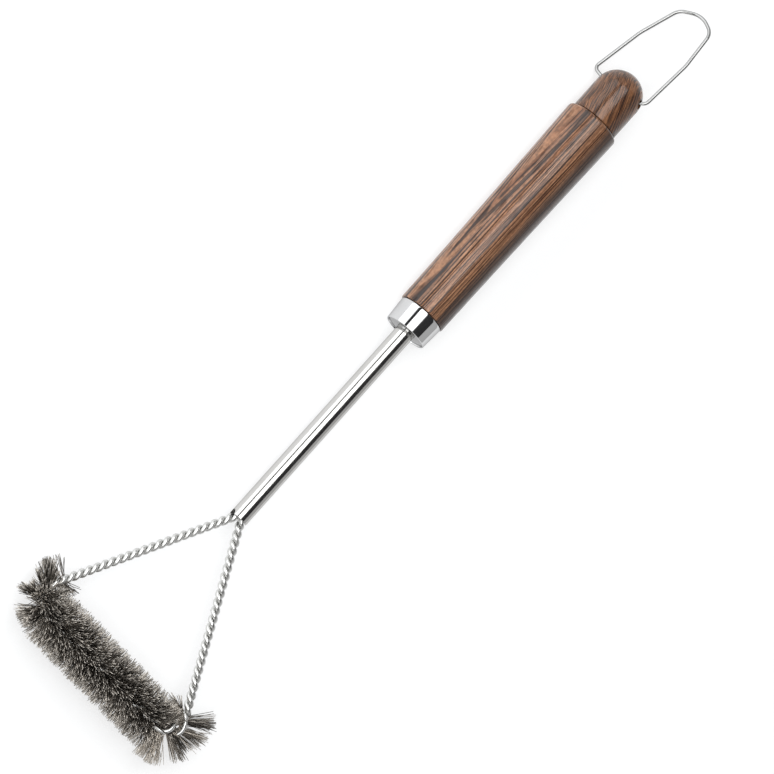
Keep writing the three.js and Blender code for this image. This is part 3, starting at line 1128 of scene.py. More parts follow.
@dataclass
class Grip:
    """The turned wooden grip, with its tenon, its flare and its bores.

    Args:
        places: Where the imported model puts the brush.
        front_radius: Radius against the ferrule.
        rear_radius: Radius at the rear end.
        flare: Power of the flare.
        front_round: Rounding at the front edge.
        rear_round: Rounding at the rear edge.
        tenon_radius: Radius of the tenon inside the ferrule.
        tenon_setback: Ferrule's rim to the tenon's face.
        bore_radius: Radius of the bore for the tube.
        dowel_bore_radius: Radius of the bore for the dowel.
        dowel_bore_depth: Depth of that bore.
        fit: Gap between the grip and the ferrule.
        sides: Number of sides.
    """

    places: Places
    front_radius: float = 14.3 * MM
    rear_radius: float = 16.3 * MM
    flare: float = 1.3
    front_round: float = 0.6 * MM
    rear_round: float = 1.8 * MM
    tenon_radius: float = 11.7 * MM
    tenon_setback: float = 2 * MM
    bore_radius: float = 5.6 * MM
    dowel_bore_radius: float = 5.15 * MM
    dowel_bore_depth: float = 20.3 * MM
    fit: float = 0.45 * MM
    sides: int = 160

    def radius_at(self, share: float) -> float:
        """Radius of the grip.

        Args:
            share: Place along its length, from 0 at the ferrule to 1 at the rear.

        Returns:
            The radius there.
        """
        return self.front_radius + (self.rear_radius - self.front_radius) * share**self.flare

    def build(self, material: bpy.types.Material) -> bpy.types.Object:
        """Turns the grip.

        Args:
            material: Its wood.

        Returns:
            The grip.
        """
        places = self.places
        start = places.ferrule_end_y + self.fit
        end = places.grip_end_y
        tenon = places.ferrule_y + self.tenon_setback
        front = start + self.front_round
        rear = end - self.rear_round
        floor = end - self.dowel_bore_depth
        profile = (
            Profile()
            .to((0, places.tube_end_y + self.fit))
            .to((self.bore_radius, places.tube_end_y + self.fit), (self.bore_radius, tenon))
            .to((self.tenon_radius, tenon), (self.tenon_radius, start))
            .arc((self.front_radius - self.front_round, front), self.front_round, -90, 0, steps=4)
            .curve(lambda share: (self.radius_at(share), front + (rear - front) * share), steps=48)
            .arc((self.rear_radius - self.rear_round, rear), self.rear_round, 0, 90, steps=8)
            .to((self.dowel_bore_radius, end), (self.dowel_bore_radius, floor), (0, floor))
        )
        piece = as_object("turned_grip", profile.turned(self.sides, False, places.axis_z))
        return dress(piece, material, Body.BRUSH, Slot.GRIP_WOOD, ["grip"])


@dataclass
class EndCap:
    """The domed wooden cap, cross drilled for the hanging loop.

    Args:
        places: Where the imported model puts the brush.
        radius: Its radius.
        base_round: Rounding at its base.
        hole_radius: Radius of the cross hole.
        dowel_bore_radius: Radius of the bore for the dowel.
        dowel_bore_depth: Depth of that bore.
        seam: Gap to the grip.
        dome_step: Degrees between two rings of the dome.
        sides: Number of sides.
    """

    places: Places
    radius: float = 14.25 * MM
    base_round: float = 0.5 * MM
    hole_radius: float = 2.6 * MM
    dowel_bore_radius: float = 5.15 * MM
    dowel_bore_depth: float = 15.3 * MM
    seam: float = 0.45 * MM
    dome_step: int = 3
    sides: int = 144

    def build(self, material: bpy.types.Material) -> bpy.types.Object:
        """Turns the cap and drills it.

        Args:
            material: Its wood.

        Returns:
            The cap.
        """
        places = self.places
        base = places.grip_end_y + self.seam
        dome = places.cap_end_y - self.radius
        bore = base + self.dowel_bore_depth
        edge = self.base_round
        wall = dome - base - edge
        step = self.dome_step
        rings = 90 // step - 2
        profile = (
            Profile()
            .to((0, bore), (self.dowel_bore_radius, bore), (self.dowel_bore_radius, base))
            .arc((self.radius - edge, base + edge), edge, -90, 0, steps=4)
            .curve(lambda share: (self.radius, base + edge + wall * share), steps=12)
            .arc((0, dome), self.radius, step, 90 - step, rings)
            .to((0, places.cap_end_y))
        )
        piece = as_object("domed_cap", profile.turned(self.sides, False, places.axis_z))
        across = places.hinge_axis * (2 * self.radius)
        ends = (places.hinge - across, places.hinge + across)
        cut_away(piece, [bar_mesh(*ends, self.hole_radius, self.hole_radius, sides=48)])
        return dress(piece, material, Body.BRUSH, Slot.CAP_WOOD, ["end_cap"])


@dataclass
class CapDowel:
    """The fluted wooden dowel glued into grip and cap.

    Args:
        places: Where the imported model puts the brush.
        radius: Its radius.
        chamfer: Chamfer at both ends.
        flutes: Number of glue flutes.
        flute_depth: Their depth.
        flute_slope: Width of a flute's sloping wall.
    """

    places: Places
    radius: float = 5.0 * MM
    chamfer: float = 1.0 * MM
    flutes: int = 18
    flute_depth: float = 0.3 * MM
    flute_slope: float = 0.06 * MM

    def build(self, material: bpy.types.Material) -> bpy.types.Object:
        """Builds the dowel.

        Args:
            material: Its wood.

        Returns:
            The dowel.
        """
        low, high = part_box("cap_dowel")
        mesh = bar_mesh(
            Vector((0, low[1], self.places.axis_z)),
            Vector((0, high[1], self.places.axis_z)),
            self.radius,
            self.radius,
            4 * self.flutes,
        )
        axis = Vector((0, 0, self.places.axis_z))
        sides = [face for face in mesh.faces if len(face.verts) == 4]
        mesh.verts.ensure_lookup_table()
        order = sorted(sides, key=lambda face: math.atan2(*(face.calc_center_median() - axis).xz))
        grooves = [face for i, face in enumerate(order) if i % 4 == 0]
        bmesh.ops.inset_individual(
            mesh, faces=grooves, thickness=self.flute_slope, depth=-self.flute_depth
        )
        bevel_ends(mesh, self.chamfer, segments=1)
        piece = as_object("fluted_dowel", mesh)
        return dress(piece, material, Body.BRUSH, Slot.DOWEL_WOOD, ["cap_dowel"])


# ------------------------------------------------------------------------------ shaft


@dataclass
class Ferrule:
    """The drawn steel cup with its rolled rim and its recessed end face.

    Args:
        places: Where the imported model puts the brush.
        front_radius: Radius behind the rim.
        back_radius: Radius against the wood.
        wall: Thickness of the steel.
        recess: Depth of the end face below the rim.
        rim: Radius of the rolled rim.
        lip: Rounding at the hole and at the foot of the rim.
        inner_bevel: Bevel inside, round the end face.
        back_bevel: Width and length of the bevel against the wood.
        hole_radius: Radius of the hole for the tube.
        sides: Number of sides.
    """

    places: Places
    front_radius: float = 12.8 * MM
    back_radius: float = 13.6 * MM
    wall: float = 0.8 * MM
    recess: float = 0.9 * MM
    rim: float = 0.5 * MM
    lip: float = 0.25 * MM
    inner_bevel: float = 0.4 * MM
    back_bevel: tuple[float, float] = (0.12 * MM, 0.15 * MM)
    hole_radius: float = 5.58 * MM
    sides: int = 160

    def build(self, material: bpy.types.Material) -> bpy.types.Object:
        """Spins the cup.

        Args:
            material: Its steel.

        Returns:
            The ferrule.
        """
        start, end = self.places.ferrule_y, self.places.ferrule_end_y
        face = start + self.recess
        inner = self.front_radius - self.wall
        floor = face + self.wall
        lip, bevel = self.lip, self.inner_bevel
        narrower, shorter = self.back_bevel
        taper = self.back_radius - self.front_radius
        skirt = end - start - self.rim - shorter
        profile = (
            Profile()
            .to((self.hole_radius, floor), (self.hole_radius, face + lip))
            .arc((self.hole_radius + lip, face + lip), lip, 180, 270, steps=4)
            .arc((inner - self.rim, face - lip), lip, 90, 10, steps=4)
            .arc((self.front_radius - self.rim, start + self.rim), self.rim, 200, 360, steps=14)
            .curve(
                lambda share: (
                    self.front_radius + taper * share,
                    start + self.rim + skirt * share,
                ),
                steps=10,
            )
            .to((self.back_radius - narrower, end), (self.back_radius - self.wall, end))
            .to((inner, floor + bevel), (inner - bevel, floor))
        )
        piece = as_object("ferrule_cup", profile.turned(self.sides, True, self.places.axis_z))
        return dress(piece, material, Body.BRUSH, Slot.POLISHED_STEEL, ["ferrule"], sharp_degrees=50)


@dataclass
class ShaftTube:
    """The polished tube, notched at its mouth round the two arms.

    Args:
        places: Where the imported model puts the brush.
        head: The head's wire path, which gives the arms' directions.
        radius: Its outer radius.
        wall: Its wall.
        edge: Rounding at its mouth.
        notch_depth: Depth of the notches.
        notch_radius: Their radius.
        sides: Number of sides.
    """

    places: Places
    head: "HeadPath"
    radius: float = 5.5 * MM
    wall: float = 0.8 * MM
    edge: float = 0.15 * MM
    notch_depth: float = 4.0 * MM
    notch_radius: float = 2.95 * MM
    sides: int = 128

    def build(self, material: bpy.types.Material) -> bpy.types.Object:
        """Spins the tube and cuts its notches.

        Args:
            material: Its steel.

        Returns:
            The tube.
        """
        places = self.places
        inner = self.radius - self.wall
        edge = self.edge
        start, end = places.mouth_y, places.tube_end_y
        straight = end - start - edge
        profile = (
            Profile()
            .arc((self.radius - edge, start + edge), edge, -90, 0, steps=3)
            .curve(lambda share: (self.radius, start + edge + straight * share), steps=24)
            .to((inner, end), (inner, start + edge))
            .arc((inner + edge, start + edge), edge, 180, 260, steps=3)
        )
        piece = as_object("polished_tube", profile.turned(self.sides, True, places.axis_z))
        notches = []
        clear_of_mouth = 5 * self.notch_depth
        for side in (-1, 1):
            base = Vector((side * self.head.tail_x, start + self.notch_depth, places.axis_z))
            far = base + self.head.arm_direction(side) * clear_of_mouth
            notches.append(bar_mesh(base, far, self.notch_radius, self.notch_radius, sides=48))
        cut_away(piece, notches)
        return dress(piece, material, Body.BRUSH, Slot.POLISHED_STEEL, ["shaft_tube"], sharp_degrees=30)


@dataclass
class ShaftPin:
    """The cross pin through tenon and tube, hidden by the ferrule.

    Args:
        places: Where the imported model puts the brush.
        radius: Its radius.
        chamfer: Chamfer at both ends.
        sides: Number of sides.
    """

    places: Places
    radius: float = 1.5 * MM
    chamfer: float = 0.3 * MM
    sides: int = 32

    def build(self, material: bpy.types.Material) -> bpy.types.Object:
        """Builds the pin.

        Args:
            material: Its steel.

        Returns:
            The pin.
        """
        low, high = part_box("shaft_pin")
        middle = (low[1] + high[1]) / 2
        ends = [low[0] + self.chamfer, high[0] - self.chamfer]
        points = [Vector((x, middle, self.places.axis_z)) for x in (ends[0], 0.0, ends[1])]
        piece = as_object("cross_pin", wire_mesh(points, self.radius, self.sides, self.chamfer))
        return dress(piece, material, Body.BRUSH, Slot.BRIGHT_WIRE, ["shaft_pin"])


@dataclass
class WireWedge:
    """The tapered pin driven between the four wire tails inside the tube.

    Args:
        places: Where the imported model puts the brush.
        radius: Radius at its driven end.
        tip: Radius at its point.
        edge: Rounding at both ends.
        sides: Number of sides.
    """

    places: Places
    radius: float = 0.45 * MM
    tip: float = 0.22 * MM
    edge: float = 0.08 * MM
    sides: int = 24

    def build(self, material: bpy.types.Material) -> bpy.types.Object:
        """Builds the wedge.

        Args:
            material: Its steel.

        Returns:
            The wedge.
        """
        low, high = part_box("wire_wedge")
        driven = Vector((0, high[1], self.places.axis_z))
        point = Vector((0, low[1], self.places.axis_z))
        mesh = bar_mesh(driven, point, self.radius, self.tip, self.sides)
        bevel_ends(mesh, self.edge, segments=2)
        piece = as_object("driven_wedge", mesh)
        return dress(piece, material, Body.BRUSH, Slot.BRIGHT_WIRE, ["wire_wedge"])


# ------------------------------------------------------------------------------ head


@dataclass
class HeadPath:
    """The flat path that both strands of the head follow, and how they wind about it.

    Args:
        places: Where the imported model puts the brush.
        half_width: Handle axis to the corner where an arm's line meets the bar's line.
        depth: Tube mouth to the bar.
        corner_radius: Centre line at the front corners.
        mouth_radius: Centre line where the arms leave the tube.
        mouth_depth: How far inside the tube the arms' lines meet their tails.
        tail_length: Straight wire inside the tube.
        tail_x: Distance of each tail from the handle's axis.
        arm_turns: Turns of twist in each arm.
        corner_turns: Turns of twist round each front corner.
        bar_turns: Turns of twist in the straight bar.
        run_in: Straight wire before the first twist.
        path: The path in the plane of the head, which is worked out from the sizes.
    """

    places: Places
    half_width: float = 61.4 * MM
    depth: float = 110.6 * MM
    corner_radius: float = 9.5 * MM
    mouth_radius: float = 5.0 * MM
    mouth_depth: float = 1.5 * MM
    tail_length: float = 25.0 * MM
    tail_x: float = 1.45 * MM
    arm_turns: float = 11.5
    corner_turns: float = 0.66
    bar_turns: float = 4.68
    run_in: float = 1.0 * MM
    path: FlatPath = field(init=False)

    def __post_init__(self) -> None:
        """Works out the path in the plane of the head."""
        mouth = self.places.mouth_y
        half = [
            (self.tail_x, mouth + self.tail_length),
            (self.tail_x, mouth + self.mouth_depth),
            (self.half_width, mouth - self.depth),
        ]
        corners = [(-x, y) for x, y in half] + half[::-1]
        radii = [self.mouth_radius, self.corner_radius, self.corner_radius, self.mouth_radius]
        self.path = FlatPath(corners, radii)

    def arm_direction(self, side: int) -> Vector:
        """Direction of an arm as it leaves the tube.

        Args:
            side: -1 for the left arm, 1 for the right one.

        Returns:
            The direction, one unit long.
        """
        run = Vector((side * (self.half_width - self.tail_x), -self.depth - self.mouth_depth, 0))
        return run.normalized()

    @property
    def left_corner(self) -> Bend:
        """The bend at the left front corner.

        Returns:
            The bend.
        """
        return self.path.bends[1]

    @property
    def right_corner(self) -> Bend:
        """The bend at the right front corner.

        Returns:
            The bend.
        """
        return self.path.bends[2]

    def phase(self, distance: float) -> float:
        """Angle of the first strand about the path.

        Args:
            distance: Distance along the path.

        Returns:
            The angle from the left-hand direction, in radians.
        """
        left, right = self.left_corner, self.right_corner
        turns = 0.0
        for low, high, count in (
            (self.path.bends[0].end + self.run_in, left.start, self.arm_turns),
            (left.start, left.end, self.corner_turns),
            (left.end, right.start, self.bar_turns),
            (right.start, right.end, self.corner_turns),
            (right.end, self.path.bends[3].start - self.run_in, self.arm_turns),
        ):
            turns += count * min(max((distance - low) / (high - low), 0.0), 1.0)
        return math.pi / 2 - TAU * turns

    def corner_share(self, distance: float) -> float:
        """How far into a front corner a place is.

        Args:
            distance: Distance along the path.

        Returns:
            1 in the middle of a bend, 0 outside it, and eased between them.
        """
        share = 0.0
        for bend in (self.left_corner, self.right_corner):
            half = (bend.end - bend.start) / 2
            off = min(abs(distance - bend.start - half) / half, 1.0)
            share += 0.5 + 0.5 * math.cos(math.pi * off)
        return share

    def point(self, distance: float, offset: float, phase: float) -> Vector:
        """A point beside the path.

        Args:
            distance: Distance along the path.
            offset: Distance from the path.
            phase: Angle about the path.

        Returns:
            The point in space.
        """
        place, heading = self.path.at(distance)
        side = left_of(heading) * (offset * math.cos(phase))
        height = self.places.axis_z + offset * math.sin(phase)
        return Vector((place.x + side.x, place.y + side.y, height))


@dataclass
class HeadWires:
    """The two long strands of the head, twisted together along arm, bar and arm.

    Args:
        head: The path.
        radius: Radius of a strand.
        offset: Centre of a strand from the centre of the twist.
        slack: How much further out the strands run round a front corner.
        chamfer: Chamfer at a strand's ends.
        step: Distance between rings.
        sides: Number of sides.
    """

    head: HeadPath
    radius: float = 1.3 * MM
    offset: float = 1.315 * MM
    slack: float = 1.8 * MM
    chamfer: float = 0.2 * MM
    step: float = 0.5 * MM
    sides: int = 14

    def build(self, material: bpy.types.Material) -> list[bpy.types.Object]:
        """Sweeps both strands.

        Args:
            material: Their steel.

        Returns:
            The strands.
        """
        head = self.head
        count = math.ceil(head.path.length / self.step)
        stops = [head.path.length * i / count for i in range(count + 1)]
        offsets = [self.offset + self.slack * head.corner_share(stop) for stop in stops]
        made = []
        for letter, start in (("a", 0.0), ("b", math.pi)):
            line = [
                head.point(stop, offset, start + head.phase(stop))
                for stop, offset in zip(stops, offsets)
            ]
            mesh = wire_mesh(line, self.radius, self.sides, self.chamfer)
            piece = as_object(f"twisted_strand_{letter}", mesh)
            nodes = [f"{part}_strand_{letter}" for part in ("left_arm", "bar", "right_arm")]
            made.append(dress(piece, material, Body.BRUSH, Slot.BRIGHT_WIRE, nodes, sharp_degrees=60))
        return made


@dataclass
class Planting:
    """Where a set of bristles starts and which way each one goes, one entry for each bristle.

    Args:
        spots: Distances along the path.
        angles: Angles about the path from the left-hand direction, in radians.
        leans: Leans along the path, in radians.
        lengths: Lengths.
        pale: Painted light added to the tones, taken from each bristle's tuft.
    """

    spots: np.ndarray
    angles: np.ndarray
    leans: np.ndarray
    lengths: np.ndarray
    pale: np.ndarray


@dataclass(frozen=True)
class Tuft:
    """One tuft at a front corner, where the twist squeezes the bristles together.

    Args:
        count: Bristles in it.
        place: Middle of its roots along the path from the arm's end, towards the bar.
        width: Spread of its roots.
        azimuth: Its direction in the plane of the head, in degrees from square to the arm towards
            the bar. A tuft that points into the triangle is measured from square to the path.
        fan: Spread of that direction, in degrees.
        rise: Spread of its bristles out of the plane of the head, in degrees.
        lift: Turn of the whole tuft upwards, in degrees.
        reach: Length of its bristles.
        inward: Whether it points into the triangle.
        pale: Painted light added to the tones of its bristles, raising them where the tuft glints and
            lowering them where it is to look darker.
    """

    count: int
    place: float
    width: float
    azimuth: float
    fan: float
    rise: float
    lift: float = 0.0
    reach: float = 15.0 * MM
    inward: bool = False
    pale: float = 0.0


# A tuft's pale value is painted light: it raises the tones of a glinting tuft and lowers those of a
# darker one.
LEFT_TUFTS = (
    Tuft(110, 3.4 * MM, 1.1 * MM, azimuth=-12, fan=4, rise=20, reach=15.2 * MM, pale=-0.12),
    Tuft(60, 6.4 * MM, 0.8 * MM, azimuth=-2, fan=4, rise=20, reach=12.2 * MM, pale=-0.12),
    Tuft(50, 1.0 * MM, 0.9 * MM, azimuth=-18, fan=7, rise=24, reach=8.4 * MM),
    Tuft(60, 10.5 * MM, 0.7 * MM, azimuth=45, fan=4, rise=12, reach=15.0 * MM, pale=-0.12),
    Tuft(24, 9.0 * MM, 0.6 * MM, azimuth=26, fan=3, rise=10, reach=10.5 * MM),
    Tuft(260, 17.5 * MM, 1.6 * MM, azimuth=88, fan=11, rise=30, reach=15.0 * MM),
    Tuft(260, 10.5 * MM, 3.2 * MM, azimuth=40, fan=30, rise=22, lift=66, reach=11.5 * MM),
    Tuft(260, 13.0 * MM, 3.5 * MM, azimuth=0, fan=26, rise=40, lift=20, inward=True),
    Tuft(34, -2.5 * MM, 1.6 * MM, azimuth=-22, fan=20, rise=26, reach=11.0 * MM, inward=True),
    Tuft(14, -3.5 * MM, 1.6 * MM, azimuth=-12, fan=10, rise=14, reach=14.0 * MM),
)
RIGHT_TUFTS = (
    Tuft(100, 2.4 * MM, 1.1 * MM, azimuth=-8, fan=7, rise=13, lift=-8, reach=17.5 * MM, pale=-0.15),
    Tuft(80, 7.6 * MM, 1.2 * MM, azimuth=8, fan=7, rise=12, lift=-8, reach=18.0 * MM, pale=0.2),
    Tuft(60, 12.5 * MM, 0.8 * MM, azimuth=50, fan=5, rise=12, lift=-6, reach=17.5 * MM),
    Tuft(40, 11.0 * MM, 0.7 * MM, azimuth=31, fan=6, rise=12, lift=-6, reach=15.0 * MM, pale=-0.1),
    Tuft(120, 18.0 * MM, 1.8 * MM, azimuth=94, fan=12, rise=10, lift=-8, reach=19.0 * MM, pale=0.35),
    Tuft(260, 18.0 * MM, 2.0 * MM, azimuth=0, fan=16, rise=22, lift=-8, reach=15.5 * MM, inward=True),
    Tuft(90, 11.0 * MM, 1.6 * MM, azimuth=0, fan=14, rise=10, lift=-14, inward=True),
    Tuft(
        80,
        3.0 * MM,
        1.3 * MM,
        azimuth=-24,
        fan=6,
        rise=6,
        lift=6,
        reach=13.0 * MM,
        inward=True,
        pale=0.6,
    ),
    Tuft(30, 0.5 * MM, 1.2 * MM, azimuth=-38, fan=9, rise=14, reach=14.5 * MM, inward=True, pale=-0.1),
)


@dataclass
class BristleHead:
    """The bristles trapped in the twist along the bar and round both corners.

    Args:
        head: The path.
        reach: Length of a bristle from the twist's centre.
        radius: Radius of a bristle at its root.
        per_metre: Bristle ends for each metre of path.
        clump: Bristles that lie together.
        spread_degrees: Spread of the directions about the twist's gap.
        loose_share: Share of the bristles that point anywhere.
        lean_degrees: Lean along the path.
        roll_stray: Spread of a clump's bristles about the path and along it, in degrees.
        tuft_stray: The same for the tufts.
        curl: Spread of the bend of the tips.
        taper: Radius at a bristle's tip, as a share of the radius at its root.
        root_scatter: Scatter of the roots of a clump along the path.
        core_scatter: Scatter of the roots about the twist's centre.
        uneven: Spread of the lengths of clumps, and of bristles in a clump, in millimetres.
        uneven_limits: How far a length may differ from the reach, in millimetres.
        tone_power: Power that makes dark tones commoner than light ones.
        floor: Lowest place of a bristle.
        end_gap: Bare wire between the roll and the right corner.
        tufts: The tufts of the left and the right corner.
        seed: Seed of the random draws for the roll's first third; the others follow it.
        corner_seed: Seed of the left corner's draws; the right one's follows it.
        segments: Rings along a bristle.
    """

    head: HeadPath
    reach: float = 16.3 * MM
    radius: float = 0.23 * MM
    per_metre: float = 48_000
    clump: int = 2
    spread_degrees: float = 34
    loose_share: float = 0.45
    lean_degrees: float = 12
    roll_stray: tuple[float, float] = (4, 3)
    tuft_stray: tuple[float, float] = (3, 2)
    curl: float = 0.6 * MM
    taper: float = 0.72
    root_scatter: float = 0.25 * MM
    core_scatter: float = 0.35 * MM
    uneven: tuple[float, float] = (0.55, 0.45)
    uneven_limits: tuple[float, float] = (-2.2, 1.1)
    tone_power: float = 1.7
    floor: float = 0.1 * MM
    end_gap: float = 2.5 * MM
    tufts: tuple[tuple[Tuft, ...], tuple[Tuft, ...]] = (LEFT_TUFTS, RIGHT_TUFTS)
    seed: int = 20
    corner_seed: int = 30
    segments: int = 5

    def build(self, material: bpy.types.Material) -> list[bpy.types.Object]:
        """Plants the bristles.

        Args:
            material: Their steel.

        Returns:
            The pieces.
        """
        left, right = self.head.left_corner, self.head.right_corner
        third = (right.start - self.end_gap - left.end) / 3
        made = []
        for index, part in enumerate(("left", "middle", "right")):
            rng = np.random.default_rng(self.seed + index)
            start = left.end + third * index
            planting = self._roll(start, start + third, rng)
            piece = self._plant(f"roll_bristles_{part}", planting, rng)
            nodes = ["bristle_roll"]
            made.append(dress(piece, material, Body.BRUSH, Slot.BRISTLE_PACK, nodes, ALL_SMOOTH))
        for index, (part, tufts) in enumerate(zip(("left", "right"), self.tufts)):
            rng = np.random.default_rng(self.corner_seed + index)
            planting = self._corner(part == "left", tufts, rng)
            piece = self._plant(f"{part}_corner_bristles", planting, rng)
            nodes = [f"{part}_corner_tuft_{number}" for number in (1, 2, 3)]
            made.append(dress(piece, material, Body.BRUSH, Slot.BRISTLE_PACK, nodes, ALL_SMOOTH))
        return made

    def _shared(self, values: np.ndarray) -> np.ndarray:
        """Gives the bristles of each clump the clump's value.

        Args:
            values: One value for each clump.

        Returns:
            One value for each bristle.
        """
        return np.repeat(values, self.clump)

    def _unevenness(self, clumps: int, rng: np.random.Generator) -> np.ndarray:
        """Differences between bristle lengths.

        Args:
            clumps: Number of clumps.
            rng: The random draws.

        Returns:
            The difference from the reach for each bristle.
        """
        of_clumps, of_bristles = self.uneven
        shared = self._shared(rng.normal(size=clumps))
        own = rng.normal(size=clumps * self.clump)
        return np.clip(shared * of_clumps + own * of_bristles, *self.uneven_limits) * MM

    def _roll(self, start: float, end: float, rng: np.random.Generator) -> Planting:
        """Bristles along a stretch of the bar.

        Args:
            start: Where the stretch starts.
            end: Where it ends.
            rng: The random draws.

        Returns:
            Their planting.
        """
        clumps = int((end - start) * self.per_metre / self.clump)
        count = clumps * self.clump
        spots = start + (end - start) * (np.arange(clumps) + rng.random(clumps)) / clumps
        gap = np.array([self.head.phase(s) for s in spots]) + math.pi / 2
        swing = rng.normal(size=clumps) * self.spread_degrees
        loose = rng.random(clumps) < self.loose_share
        swing = np.where(loose, rng.uniform(-90, 90, clumps), swing)
        half_turn = rng.integers(0, 2, clumps) * math.pi
        angles = self._shared(gap + half_turn + np.radians(swing))
        leans = self._shared(rng.normal(size=clumps)) * self.lean_degrees
        about, along = self.roll_stray
        return Planting(
            spots=self._shared(spots) + rng.normal(size=count) * self.root_scatter,
            angles=angles + np.radians(rng.normal(size=count) * about),
            leans=np.radians(leans + rng.normal(size=count) * along),
            lengths=self.reach + self._unevenness(clumps, rng),
            pale=np.zeros(count),
        )

    def _corner(self, is_left: bool, tufts: Sequence[Tuft], rng: np.random.Generator) -> Planting:
        """Bristles of the tufts at one corner.

        Args:
            is_left: Whether it is the left corner.
            tufts: Its tufts.
            rng: The random draws.

        Returns:
            Their planting.
        """
        bend = self.head.left_corner if is_left else self.head.right_corner
        arm_end, away = (bend.start, 1) if is_left else (bend.end, -1)
        turn = (bend.end - bend.start) / self.head.corner_radius
        about, along = self.tuft_stray
        parts = []
        for tuft in tufts:
            clumps = tuft.count // self.clump
            count = clumps * self.clump
            places = tuft.place + rng.normal(size=clumps) * tuft.width
            turned = np.clip(places / self.head.corner_radius, 0.0, turn)
            wanted = np.radians(tuft.azimuth + rng.normal(size=clumps) * tuft.fan)
            leans = away * (wanted if tuft.inward else wanted - turned)
            rise = np.radians(tuft.lift + rng.normal(size=clumps) * tuft.rise)
            angles = rise if tuft.inward else math.pi - rise
            parts.append(
                (
                    self._shared(arm_end + away * places) + rng.normal(size=count) * self.root_scatter,
                    self._shared(angles) + np.radians(rng.normal(size=count) * about),
                    self._shared(leans) + np.radians(rng.normal(size=count) * along),
                    tuft.reach + self._unevenness(clumps, rng),
                    np.full(count, tuft.pale),
                )
            )
        return Planting(*(np.concatenate(values) for values in zip(*parts)))

    def _bristles(self, name: str, count: int) -> bpy.types.Object:
        """Copies of one straight bristle, one unit long and one unit thick, all in one mesh.

        Args:
            name: Name of the object.
            count: Number of copies.

        Returns:
            The object.
        """
        mesh = bmesh.new()
        bmesh.ops.create_cone(
            mesh,
            cap_ends=False,
            segments=3,
            radius1=1.0,
            radius2=self.taper,
            depth=1.0,
            matrix=Matrix.Translation((0, 0, 0.5)),
        )
        walls = [
            edge for edge in mesh.edges if abs(edge.verts[0].co.z - edge.verts[1].co.z) > SAME_PLACE
        ]
        bmesh.ops.subdivide_edges(mesh, edges=walls, cuts=self.segments - 1, use_grid_fill=True)
        for end in (0.0, 1.0):
            rim = [
                edge
                for edge in mesh.edges
                if all(abs(vert.co.z - end) < SAME_PLACE for vert in edge.verts)
            ]
            bmesh.ops.contextual_create(mesh, geom=rim)
        bmesh.ops.recalc_face_normals(mesh, faces=mesh.faces)
        piece = as_object(name, mesh)
        array = piece.modifiers.new("copies", "ARRAY")
        array.count = count
        array.use_relative_offset = False
        apply_modifiers(piece)
        return piece

    def _plant(self, name: str, planting: Planting, rng: np.random.Generator) -> bpy.types.Object:
        """Makes bristles where a planting says.

        Args:
            name: Name of the piece.
            planting: The planting.
            rng: The random draws.

        Returns:
            The piece.
        """
        count = len(planting.spots)
        piece = self._bristles(name, count)
        size = len(piece.data.vertices) // count
        shape = np.empty(len(piece.data.vertices) * 3, np.float32)
        piece.data.vertices.foreach_get("co", shape)
        shape = shape.reshape(count, size, 3)
        places = [self.head.path.at(spot) for spot in planting.spots]
        centre = np.array([(*point, self.head.places.axis_z) for point, _ in places])
        heading = np.array([(*direction, 0.0) for _, direction in places])
        left = np.stack([-heading[:, 1], heading[:, 0], heading[:, 2]], axis=1)
        up = np.array((0.0, 0.0, 1.0))
        cosine, sine = np.cos(planting.angles)[:, None], np.sin(planting.angles)[:, None]
        radial = left * cosine + up * sine
        side = up * cosine - left * sine
        lean = planting.leans[:, None]
        along = radial * np.cos(lean) + heading * np.sin(lean)
        over = np.cross(along, side)
        draws = rng.normal(size=(4, count, 1))
        bend = draws[0] * side + draws[1] * over
        root = centre + self.core_scatter * (draws[2] * side + draws[3] * over)
        run = shape[:, :, 2:3]
        across = shape[:, :, 0:1] * side[:, None] + shape[:, :, 1:2] * over[:, None]
        points = root[:, None] + run * (planting.lengths[:, None] * along)[:, None]
        points += run**2 * (self.curl * bend)[:, None] + across * self.radius
        points[:, :, 2] = np.maximum(points[:, :, 2], self.floor)
        piece.data.vertices.foreach_set("co", points.astype(np.float32).ravel())
        # Random tone of each bristle, plus the painted light of its tuft.
        tone = rng.random(count) ** self.tone_power + planting.pale
        self._store(piece, "tone", np.repeat(np.clip(tone, 0.0, 1.0), size))
        self._store(piece, "along", run.ravel())
        piece.data.update()
        return piece

    @staticmethod
    def _store(piece: bpy.types.Object, name: str, values: np.ndarray) -> None:
        """Stores a number on each vertex of a piece.

        Args:
            piece: The piece.
            name: Name of the attribute.
            values: The numbers.
        """
        attribute = piece.data.attributes.new(name, "FLOAT", "POINT")
        attribute.data.foreach_set("value", values.astype(np.float32))


# ------------------------------------------------------------------------------ hanging loop


